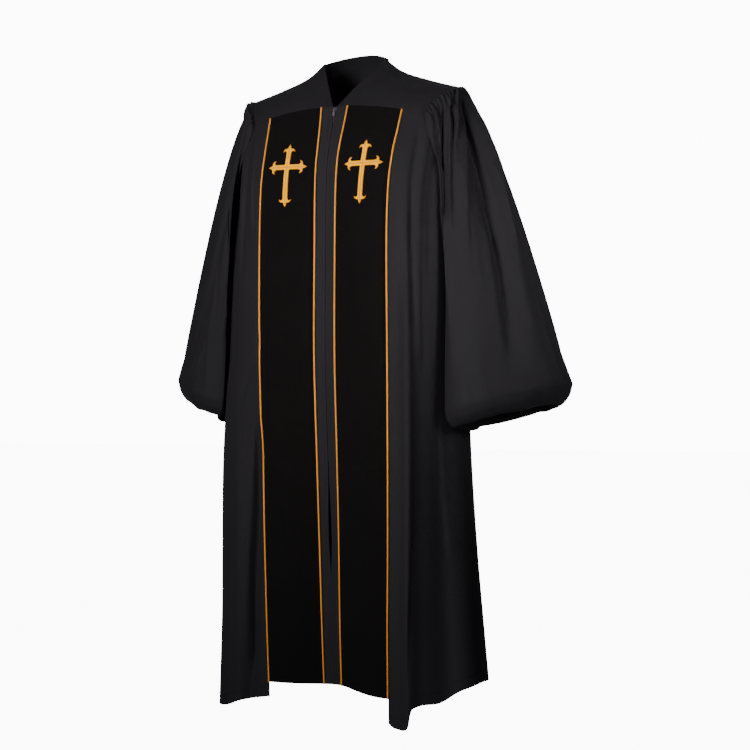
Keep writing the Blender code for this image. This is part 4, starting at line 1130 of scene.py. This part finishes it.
def sleeve_points(side):
    head = np.linspace(0.0, HEAD_COLUMNS, HEAD_COLUMNS * 6 + 1)
    under = np.linspace(HEAD_COLUMNS, ALL_COLUMNS, 2 * ARM_ROWS * 3 + 1)[1:-1]
    column = np.concatenate([head, under])
    steps = np.linspace(0, len(STATIONS) - 1, (len(STATIONS) - 1) * 7 + 1)
    station = np.interp(steps, range(len(STATIONS)), STATIONS)[:, None]
    turned = turned_hem(side, column)
    points = np.concatenate([hanging_cloth(side, column, station), turned])
    station = np.concatenate([station, np.ones((len(turned), 1))])
    lift = fold_lift(side, column, station)
    lift += crease_height(SLEEVE_CREASES, side, station, column)
    lift += pucker_lift(side, column, station)
    lift += hem_lumps(side, column, station)
    return mirror(points + surface_normals(points) * lift[..., None], side)


for side in (1, -1):
    name = f"sleeve_{SIDE_NAMES[side]}"
    pieces[name] = cloth(f"{name}_cloth", sleeve_points(side), CLOTH, ROBE_CLOTH, side < 0, closed=True)

# %% [markdown]
# ## Gold piping
# Piping is a twisted cord sewn into the seam on both sides of each velvet panel. It is
# a tube along the seam, and its strands are drawn by the material on the tube's UVs.

# %% Piping
def tube(name, path, radius, sides, finish):
    """A closed tube along a path, with UVs in metres round it and along it."""
    along = unit(np.gradient(path, axis=0))
    across = unit(np.cross(along, np.array([0.0, -1.0, 0.02])))
    out = np.cross(across, along)
    length = np.concatenate([[0.0], np.cumsum(np.linalg.norm(np.diff(path, axis=0), axis=1))])
    angle = np.linspace(0.0, 2 * math.pi, sides + 1)
    ring = np.cos(angle)[None, :, None] * across[:, None] + np.sin(angle)[None, :, None] * out[:, None]
    points = path[:, None] + ring * radius
    count = len(path)
    i, j = np.meshgrid(np.arange(count - 1), np.arange(sides), indexing="ij")
    a, b = (i * sides + j).ravel(), (i * sides + (j + 1) % sides).ravel()
    faces = np.stack([a, b, b + sides, a + sides], axis=1)
    u = np.broadcast_to(angle * radius, (count, sides + 1))
    v = np.broadcast_to(length[:, None], (count, sides + 1))
    corners = [(i, j), (i, j + 1), (i + 1, j + 1), (i + 1, j)]
    uv = np.stack([np.stack([u[r, c].ravel(), v[r, c].ravel()], axis=1) for r, c in corners], axis=1)
    data = bpy.data.meshes.new(name)
    ends = [list(range(sides))[::-1], [(count - 1) * sides + n for n in range(sides)]]
    data.from_pydata(points[:, :sides].reshape(-1, 3).tolist(), [], faces.tolist() + ends)
    layer = data.uv_layers.new(name="cloth")
    flat = np.concatenate([uv.reshape(-1), np.zeros(4 * sides)]).astype(np.float32)
    layer.uv.foreach_set("vector", flat)
    shell = bmesh.new()
    shell.from_mesh(data)
    bmesh.ops.recalc_face_normals(shell, faces=shell.faces)
    shell.to_mesh(data)
    shell.free()
    data.shade_smooth()
    data.set_sharp_from_angle(angle=math.radians(60))
    return new_piece(name, data, finish)


def piping(side, seam, place):
    arcs = seam(FRONT_Z)[:, 0]
    z = row_z(arcs, ROWS[:, 0], velvet_hem_z(side, arcs))
    path = body(side, arcs, z, PIPING_RADIUS + SEAM_GAP)
    return tube(f"piping_{place}_{SIDE_NAMES[side]}_cord", path, PIPING_RADIUS, 12, GOLD_CORD)


for side in (1, -1):
    for place, seam in (("outer", outer_seam), ("inner", inner_seam)):
        pieces[f"piping_{place}_{SIDE_NAMES[side]}"] = piping(side, seam, place)
print("cords:", sum("piping" in name for name in pieces))

# %% [markdown]
# ## Embroidered crosses
# Satin stitch over padding makes each arm rounded, with a groove where the two rows
# of stitches meet. The cross is cut from a flat outline into small faces, and each
# point is then raised by its distance from the outline and laid on the velvet.

# %% The outline of a cross
CROSS_ARC = 0.0870
CROSS_Z = -0.224
CROSS_UP = 0.0475
CROSS_DOWN = 0.0815
CROSS_SIDE = 0.0435
CROSS_BAR = 0.0052
CROSS_LIFT = 0.0005
CROSS_HEIGHT = 0.0021
PADDING = 0.0034
CROSS_EDGE = 0.35
GROOVE = 0.0011
GROOVE_STOPS = 0.004
GROOVE_DEPTH = 0.5
CROSS_CELL = 0.0010
Flank = namedtuple("Flank", "across back")
ARM_END = (
    Flank(0.0000, 0.0000),
    Flank(0.0034, 0.0062),
    Flank(0.0030, 0.0090),
    Flank(0.0078, 0.0088),
    Flank(0.0120, 0.0112),
    Flank(0.0139, 0.0170),
    Flank(0.0106, 0.0142),
    Flank(0.0074, 0.0138),
    Flank(0.0052, 0.0180),
)


def rounded(line, times):
    """Cuts every corner of an open line of points, and keeps its two ends."""
    for _ in range(times):
        near, far = mix(line[:-1], line[1:], 0.25), mix(line[:-1], line[1:], 0.75)
        line = np.concatenate([line[:1], np.stack([near, far], axis=1).reshape(-1, 2), line[-1:]])
    return line


def arm_outline(length):
    """One arm of the cross, from one inner corner round its pointed end to the next."""
    flank = rounded(np.array(ARM_END), 2) * (1, -1) + (0, length)
    flank = np.concatenate([flank, [(CROSS_BAR, CROSS_BAR)]])
    return np.concatenate([flank[::-1], flank[1:] * (-1, 1)])


def cross_outline():
    outline = []
    for turn, length in enumerate((CROSS_UP, CROSS_SIDE, CROSS_DOWN, CROSS_SIDE)):
        cos, sin = math.cos(math.pi / 2 * turn), math.sin(math.pi / 2 * turn)
        outline += [(x * cos - y * sin, x * sin + y * cos) for x, y in arm_outline(length)[:-1]]
    return np.array(outline)


print("points of the outline:", len(cross_outline()))

# %% [markdown]
# The outline alone would make one huge face that can't bend with the velvet. Straight
# cuts across it and along it leave small faces, and the distance of each point from
# the edge tells how high the padding lifts it.

# %% Small faces inside the outline
def distance_inside(points, outline):
    """Distance of each point from the nearest edge of the outline."""
    nearest = np.full(len(points), 1.0)
    for a, b in zip(outline, np.roll(outline, -1, axis=0)):
        edge = b - a
        share = np.clip((points - a) @ edge / (edge @ edge), 0.0, 1.0)
        nearest = np.minimum(nearest, np.linalg.norm(points - a - share[:, None] * edge, axis=1))
    return nearest


def cut_outline(outline):
    """The outline as a flat mesh of small faces."""
    flat = bmesh.new()
    flat.faces.new([flat.verts.new((x, y, 0.0)) for x, y in outline])
    for axis, low, high in ((0, -CROSS_SIDE, CROSS_SIDE), (1, -CROSS_DOWN, CROSS_UP)):
        normal = Vector((1.0 - axis, axis, 0.0))
        for cut in np.arange(low + CROSS_CELL / 2, high, CROSS_CELL):
            parts = flat.verts[:] + flat.edges[:] + flat.faces[:]
            bmesh.ops.bisect_plane(flat, geom=parts, plane_co=normal * cut, plane_no=normal)
    bmesh.ops.triangulate(flat, faces=flat.faces[:])
    return flat


flat_cross = cut_outline(cross_outline())
print("small faces:", len(flat_cross.faces))
flat_cross.free()

# %% Raising a cross and laying it on the velvet
def stitch_uv(shell):
    """Threads lie across each arm, so V runs along the arm that a face is on."""
    layer = shell.loops.layers.uv.new("cloth")
    for face in shell.faces:
        middle_x, middle_y = face.calc_center_median()[:2]
        on_side_arm = abs(middle_x) > abs(middle_y)
        for loop in face.loops:
            x, y = loop.vert.co[:2]
            loop[layer].uv = (y, x) if on_side_arm else (x, y)


def cross(side):
    outline = cross_outline()
    flat = cut_outline(outline)
    raised = bmesh.ops.extrude_face_region(flat, geom=flat.faces[:])["geom"]
    top = {v for v in raised if isinstance(v, bmesh.types.BMVert)}
    spots = np.array([v.co[:2] for v in flat.verts])
    inside = distance_inside(spots, outline)
    padded = np.sqrt(np.maximum(1.0 - (1.0 - np.minimum(inside / PADDING, 1.0)) ** 2, 0.0))
    middle = np.minimum(abs(spots[:, 0]), abs(spots[:, 1]))
    groove = np.exp(-((middle / GROOVE) ** 2)) * ease(inside / GROOVE_STOPS)
    height = CROSS_HEIGHT * (mix(CROSS_EDGE, 1.0, padded) - GROOVE_DEPTH * groove)
    is_top = np.array([v in top for v in flat.verts])
    stitch_uv(flat)
    arcs, z = CROSS_ARC + side * spots[:, 0], CROSS_Z + spots[:, 1]
    normals = body_normal(side, arcs, z)
    placed = body(side, arcs, z) + normals * (CROSS_LIFT + height * is_top)[:, None]
    for vertex, point in zip(flat.verts, placed):
        vertex.co = point
    bmesh.ops.recalc_face_normals(flat, faces=flat.faces)
    data = bpy.data.meshes.new(f"cross_{SIDE_NAMES[side]}_stitched")
    flat.to_mesh(data)
    # Painted shade, a darker orange, in the groove and on the sloping edges of each arm.
    painted_shade = data.attributes.new("groove", "FLOAT", "POINT")
    painted_shade.data.foreach_set("value", np.maximum(groove, 1.0 - padded).astype(np.float32))
    flat.free()
    data.shade_smooth()
    data.set_sharp_from_angle(angle=math.radians(70))
    return new_piece(data.name, data, SATIN_STITCH)


for side in (1, -1):
    name = f"cross_{SIDE_NAMES[side]}"
    pieces[name] = cross(side)
    print(f"{name}: {triangles(pieces[name])} triangles")

# %% [markdown]
# ## The zip
# Two woven tapes lie behind the plackets, and a row of teeth is fixed along the inner
# edge of each. The teeth repeat along a line, so Geometry Nodes put one small tooth
# at each step, and the two rows are half a step apart so that they mesh.

# %% Zip tapes
TAPE_EDGES = (0.0006, 0.0125)
TAPE_BEHIND = 0.0006


def zip_tape(side):
    z = FRONT_Z[:, 0].copy()
    z[0] -= TAPE_TOP_DROP
    z = np.concatenate([z[z > ZIP_END_Z], [ZIP_END_Z]])[:, None]
    arcs = np.linspace(*TAPE_EDGES, 4)[None, :]
    points = body(side, arcs, z, -CLOTH - TAPE_BEHIND)
    return cloth(f"zip_tape_{SIDE_NAMES[side]}_cloth", points, TAPE_CLOTH, TAPE_WEAVE, side < 0)


for side in (1, -1):
    pieces[f"zip_tape_{SIDE_NAMES[side]}"] = zip_tape(side)

# %% A tree that repeats a shape along a line
def shape_along_line(name, finish, rod):
    """A node tree that puts a rod or a block at each step of the curve it is given."""
    tree = bpy.data.node_groups.new(name, "GeometryNodeTree")
    tree.interface.new_socket("Geometry", in_out="INPUT", socket_type="NodeSocketGeometry")
    sizes = (("Step", 0.0034), ("Length", 0.0026), ("Width", 0.0004), ("Depth", 0.0004))
    for label, value in sizes:
        socket = tree.interface.new_socket(label, in_out="INPUT", socket_type="NodeSocketFloat")
        socket.default_value = value
    seed = tree.interface.new_socket("Seed", in_out="INPUT", socket_type="NodeSocketInt")
    seed.default_value = 3
    tree.interface.new_socket("Geometry", in_out="OUTPUT", socket_type="NodeSocketGeometry")
    start, end = tree.nodes.new("NodeGroupInput"), tree.nodes.new("NodeGroupOutput")
    links = tree.links

    spots = tree.nodes.new("GeometryNodeCurveToPoints")
    spots.mode = "LENGTH"
    links.new(start.outputs["Geometry"], spots.inputs["Curve"])
    links.new(start.outputs["Step"], spots.inputs["Length"])
    shape = tree.nodes.new("GeometryNodeMeshCylinder" if rod else "GeometryNodeMeshCube")
    if rod:
        shape.inputs["Vertices"].default_value = 6
        shape.inputs["Radius"].default_value = 0.5
        shape.inputs["Depth"].default_value = 1.0
    wobble = tree.nodes.new("FunctionNodeRandomValue")
    wobble.data_type = "FLOAT"
    wobble.inputs[2].default_value = 0.92
    wobble.inputs[3].default_value = 1.08
    links.new(start.outputs["Seed"], wobble.inputs["Seed"])
    size = tree.nodes.new("ShaderNodeCombineXYZ")
    for label, socket in (("Width", "X"), ("Depth", "Y"), ("Length", "Z")):
        links.new(start.outputs[label], size.inputs[socket])
    varied = tree.nodes.new("ShaderNodeVectorMath")
    varied.operation = "SCALE"
    links.new(size.outputs[0], varied.inputs[0])
    links.new(wobble.outputs[1], varied.inputs["Scale"])
    placed = tree.nodes.new("GeometryNodeInstanceOnPoints")
    links.new(spots.outputs["Points"], placed.inputs["Points"])
    links.new(shape.outputs["Mesh"], placed.inputs["Instance"])
    links.new(spots.outputs["Rotation"], placed.inputs["Rotation"])
    links.new(varied.outputs[0], placed.inputs["Scale"])
    real = tree.nodes.new("GeometryNodeRealizeInstances")
    links.new(placed.outputs[0], real.inputs[0])
    coloured = tree.nodes.new("GeometryNodeSetMaterial")
    coloured.inputs["Material"].default_value = finish
    links.new(real.outputs[0], coloured.inputs["Geometry"])
    links.new(coloured.outputs[0], end.inputs[0])
    return tree


def repeat_along(name, paths, tree, sizes):
    """Runs the tree on a curve of these paths and keeps the result as one plain mesh."""
    line = bpy.data.curves.new(name + "_line", "CURVE")
    line.dimensions = "3D"
    for path in paths:
        spline = line.splines.new("POLY")
        spline.points.add(len(path) - 1)
        for spot, point in zip(spline.points, path):
            spot.co = (*point, 1.0)
    guide = bpy.data.objects.new(name + "_line", line)
    bpy.context.scene.collection.objects.link(guide)
    modifier = guide.modifiers.new("repeat", "NODES")
    modifier.node_group = tree
    items = [item for item in tree.interface.items_tree if item.in_out == "INPUT"]
    sockets = {item.name: item.identifier for item in items}
    for label, value in sizes.items():
        modifier[sockets[label]] = value
    graph = bpy.context.evaluated_depsgraph_get()
    data = bpy.data.meshes.new_from_object(guide.evaluated_get(graph))
    bpy.data.objects.remove(guide)
    piece = bpy.data.objects.new(name, data)
    bpy.context.scene.collection.objects.link(piece)
    print(f"{name}: {triangles(piece)} triangles")
    return piece


TOOTH_METAL = bpy.data.materials.new("tooth_metal")
TOOTH_METAL.use_nodes = True
tooth_shader = TOOTH_METAL.node_tree.nodes["Principled BSDF"]
tooth_shader.inputs["Base Color"].default_value = (0.010, 0.010, 0.011, 1)
tooth_shader.inputs["Roughness"].default_value = 0.6
tooth_shader.inputs["Specular IOR Level"].default_value = 0.2
STITCHES = shape_along_line("stitches along a line", THREAD, rod=True)
TEETH = shape_along_line("teeth along a line", TOOTH_METAL, rod=False)
print("trees of nodes:", STITCHES.name, "and", TEETH.name)

# %% Zip teeth
ZIP_PITCH = 0.0016
TOOTH = {"Step": ZIP_PITCH, "Length": 0.0007, "Width": 0.0020, "Depth": 0.0007}
TEETH_ARC = 0.0008
TEETH_BEHIND = 0.0002
TEETH_TOP_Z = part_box("zip_slider")[0][2] - 0.0005
TEETH_END_Z = ZIP_END_Z + 0.004


def teeth(side):
    z = np.linspace(TEETH_TOP_Z, TEETH_END_Z, 260) + (ZIP_PITCH / 2 if side < 0 else 0.0)
    path = body(side, np.full_like(z, TEETH_ARC), z, -CLOTH - TEETH_BEHIND, creased=False)
    return repeat_along(f"zip_teeth_{SIDE_NAMES[side]}", [path], TEETH, TOOTH)


sewn = [teeth(side) for side in (1, -1)]

# %% [markdown]
# ## Stitches
# Rows of short stitches hold the plackets, the yoke seams and the hems. One tree of
# nodes makes them all, from a line drawn just above the cloth.

# %% Rows of stitches
STITCH = {"Step": 0.0036, "Length": 0.0027, "Width": 0.00045, "Depth": 0.00040}
STITCH_LIFT = 0.00008
PLACKET_ROWS = (0.30, 0.86)
YOKE_ROW_DROP = 0.0035
HEM_ROW_RISE = 0.022
ROW_END = 0.004


def placket_stitches(side):
    z = FRONT_Z[3:-1, 0]
    paths = []
    for share in PLACKET_ROWS:
        arcs = mix(slit_arc(z), inner_seam(z), share)
        paths.append(body(side, arcs, z, STITCH_LIFT))
    return paths


def yoke_stitches(side):
    arcs = np.linspace(0.010, CORNER_ARC - ROW_END, 60)
    return [body(side, arcs, seam_z(arcs) - YOKE_ROW_DROP, STITCH_LIFT), behind_points(side)]


def behind_points(side):
    """A row of the back yoke just above its seam, from the middle to one end."""
    yoke = back_yoke_points(steps=60)
    middle = yoke.shape[1] // 2
    row = yoke[2, middle:] if side > 0 else yoke[2, : middle + 1][::-1]
    return row[:-1] + np.array([0.0, STITCH_LIFT + 0.0003, 0.0])


def hem_stitches(side):
    first, last = outer_seam(VELVET_HEM_Z) + ROW_END, side_arc(side, -1.25) - 0.003
    arcs = np.linspace(first, last, 120)
    return [body(side, arcs, hem_z(side, arcs) + HEM_ROW_RISE, STITCH_LIFT)]


for side in (1, -1):
    name = SIDE_NAMES[side]
    sewn.append(repeat_along(f"placket_stitches_{name}", placket_stitches(side), STITCHES, STITCH))
    sewn.append(repeat_along(f"yoke_stitches_{name}", yoke_stitches(side), STITCHES, STITCH))
    sewn.append(repeat_along(f"hem_stitches_{name}", hem_stitches(side), STITCHES, STITCH))

# %% [markdown]
# ## Slider and pull
# The slider and its pull keep the imported model's shapes. Their metal is dull and a
# little worn, with brighter, smoother patches at random.

# %% Metal of the zip
def worn_metal():
    made = bpy.data.materials.new("zip_metal")
    made.use_nodes = True
    tree = made.node_tree
    shader = tree.nodes["Principled BSDF"]
    shader.inputs["Metallic"].default_value = 1.0
    where = tree.nodes.new("ShaderNodeTexCoord")
    noise = tree.nodes.new("ShaderNodeTexNoise")
    noise.inputs["Scale"].default_value = 900.0
    noise.inputs["Detail"].default_value = 4.0
    tree.links.new(where.outputs["Object"], noise.inputs["Vector"])
    colour = tree.nodes.new("ShaderNodeMix")
    colour.data_type = "RGBA"
    colour.inputs[6].default_value = (0.05, 0.05, 0.052, 1)
    colour.inputs[7].default_value = (0.14, 0.135, 0.135, 1)
    tree.links.new(noise.outputs[0], colour.inputs[0])
    tree.links.new(colour.outputs[2], shader.inputs["Base Color"])
    rough = calculate(tree, "MULTIPLY_ADD", noise.outputs[0], 0.3, 0.22)
    tree.links.new(rough, shader.inputs["Roughness"])
    return made


ZIP_METAL = worn_metal()
for node in ("zip_slider", "zip_pull"):
    solid = frame["nodes"][node]
    if not solid.data.materials:
        solid.data.materials.append(ZIP_METAL)
    for place in solid.material_slots:
        place.material = ZIP_METAL

# %% [markdown]
# ## What each piece stands for
# Each wall of cloth replaces its node, which is hidden, and rides on the robe's body.
# Trim and stitches ride along with it.

# %% Attaching the pieces
Cut = namedtuple("Cut", "held width length area rests_on")

for node, piece in pieces.items():
    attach(piece, "robe")
    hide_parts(node)
for piece in sewn:
    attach(piece, "robe")
print("pieces on the robe:", len(pieces) + len(sewn))

# %% [markdown]
# ## Floor, lights and camera
# The white sweep glows for the camera only, so the black cloth keeps its tone. A large
# soft light on the wearer's right models the folds and fades towards the hem. A narrow
# one lifts the near sleeve, and a weak one by the camera fills the shadows.

# %% Floor and background
FLOOR_Z = -1.62
FLOOR_REACH = 30.0
WHITE = 12.0
ROOM_LIGHT = 0.09


def pale_surface():
    made = bpy.data.materials.new("pale_floor")
    made.use_nodes = True
    shader = made.node_tree.nodes["Principled BSDF"]
    shader.inputs["Base Color"].default_value = (0.90, 0.90, 0.90, 1)
    shader.inputs["Roughness"].default_value = 0.9
    shader.inputs["Specular IOR Level"].default_value = 0.0
    shader.inputs["Emission Color"].default_value = (1.0, 1.0, 1.0, 1)
    ray = made.node_tree.nodes.new("ShaderNodeLightPath")
    glow = calculate(made.node_tree, "MULTIPLY", ray.outputs["Is Camera Ray"], WHITE * 0.9)
    made.node_tree.links.new(glow, shader.inputs["Emission Strength"])
    return made


floor_data = bpy.data.meshes.new("floor")
corners = [(x * FLOOR_REACH, y * FLOOR_REACH, FLOOR_Z) for x, y in ((-1, -1), (1, -1), (1, 1), (-1, 1))]
floor_data.from_pydata(corners, [], [(0, 1, 2, 3)])
floor = new_piece("floor", floor_data, pale_surface())
world = bpy.data.worlds.new("studio")
bpy.context.scene.world = world
world.use_nodes = True
tree = world.node_tree
ray = tree.nodes.new("ShaderNodeLightPath")
glow = calculate(tree, "MULTIPLY_ADD", ray.outputs["Is Camera Ray"], WHITE - ROOM_LIGHT, ROOM_LIGHT)
tree.links.new(glow, tree.nodes["Background"].inputs["Strength"])
tree.nodes["Background"].inputs["Color"].default_value = (1.0, 1.0, 1.0, 1)
print("floor at", FLOOR_Z, "and room light", ROOM_LIGHT)

# %% Lights and camera
def soft_light(name, place, aim, size, power, spread):
    lamp = bpy.data.lights.new(name, "AREA")
    lamp.size = size
    lamp.energy = power
    lamp.spread = math.radians(spread)
    holder = bpy.data.objects.new(name, lamp)
    bpy.context.scene.collection.objects.link(holder)
    holder.location = place
    holder.rotation_euler = (Vector(aim) - Vector(place)).to_track_quat("-Z", "Y").to_euler()
    return holder


soft_light("key", (-0.42, -2.30, 0.06), (0.38, 0.0, -0.46), 0.9, 23.0, 74.0)
soft_light("sleeve", (2.40, -0.60, 0.20), (0.54, 0.0, -0.34), 0.5, 2.0, 24.0)
soft_light("fill", (1.70, -2.80, 0.15), (0.0, 0.0, -0.60), 1.6, 3.0, 120.0)

CAMERA_TURN = math.radians(28)
CAMERA_DISTANCE = 4.4
CAMERA_HEIGHT = -0.683
IMAGE = 750
FOCAL_PIXELS = 2146
camera_data = bpy.data.cameras.new("camera")
camera_data.sensor_width = 36.0
camera_data.lens = 36.0 * FOCAL_PIXELS / IMAGE
camera_data.shift_x = 20 / IMAGE
camera_data.shift_y = 20 / IMAGE
camera = bpy.data.objects.new("camera", camera_data)
bpy.context.scene.collection.objects.link(camera)
camera.location = (
    CAMERA_DISTANCE * math.sin(CAMERA_TURN),
    -CAMERA_DISTANCE * math.cos(CAMERA_TURN),
    CAMERA_HEIGHT,
)
camera.rotation_euler = (math.pi / 2, 0.0, CAMERA_TURN)
bpy.context.scene.camera = camera
print("camera at", [round(value, 3) for value in camera.location])
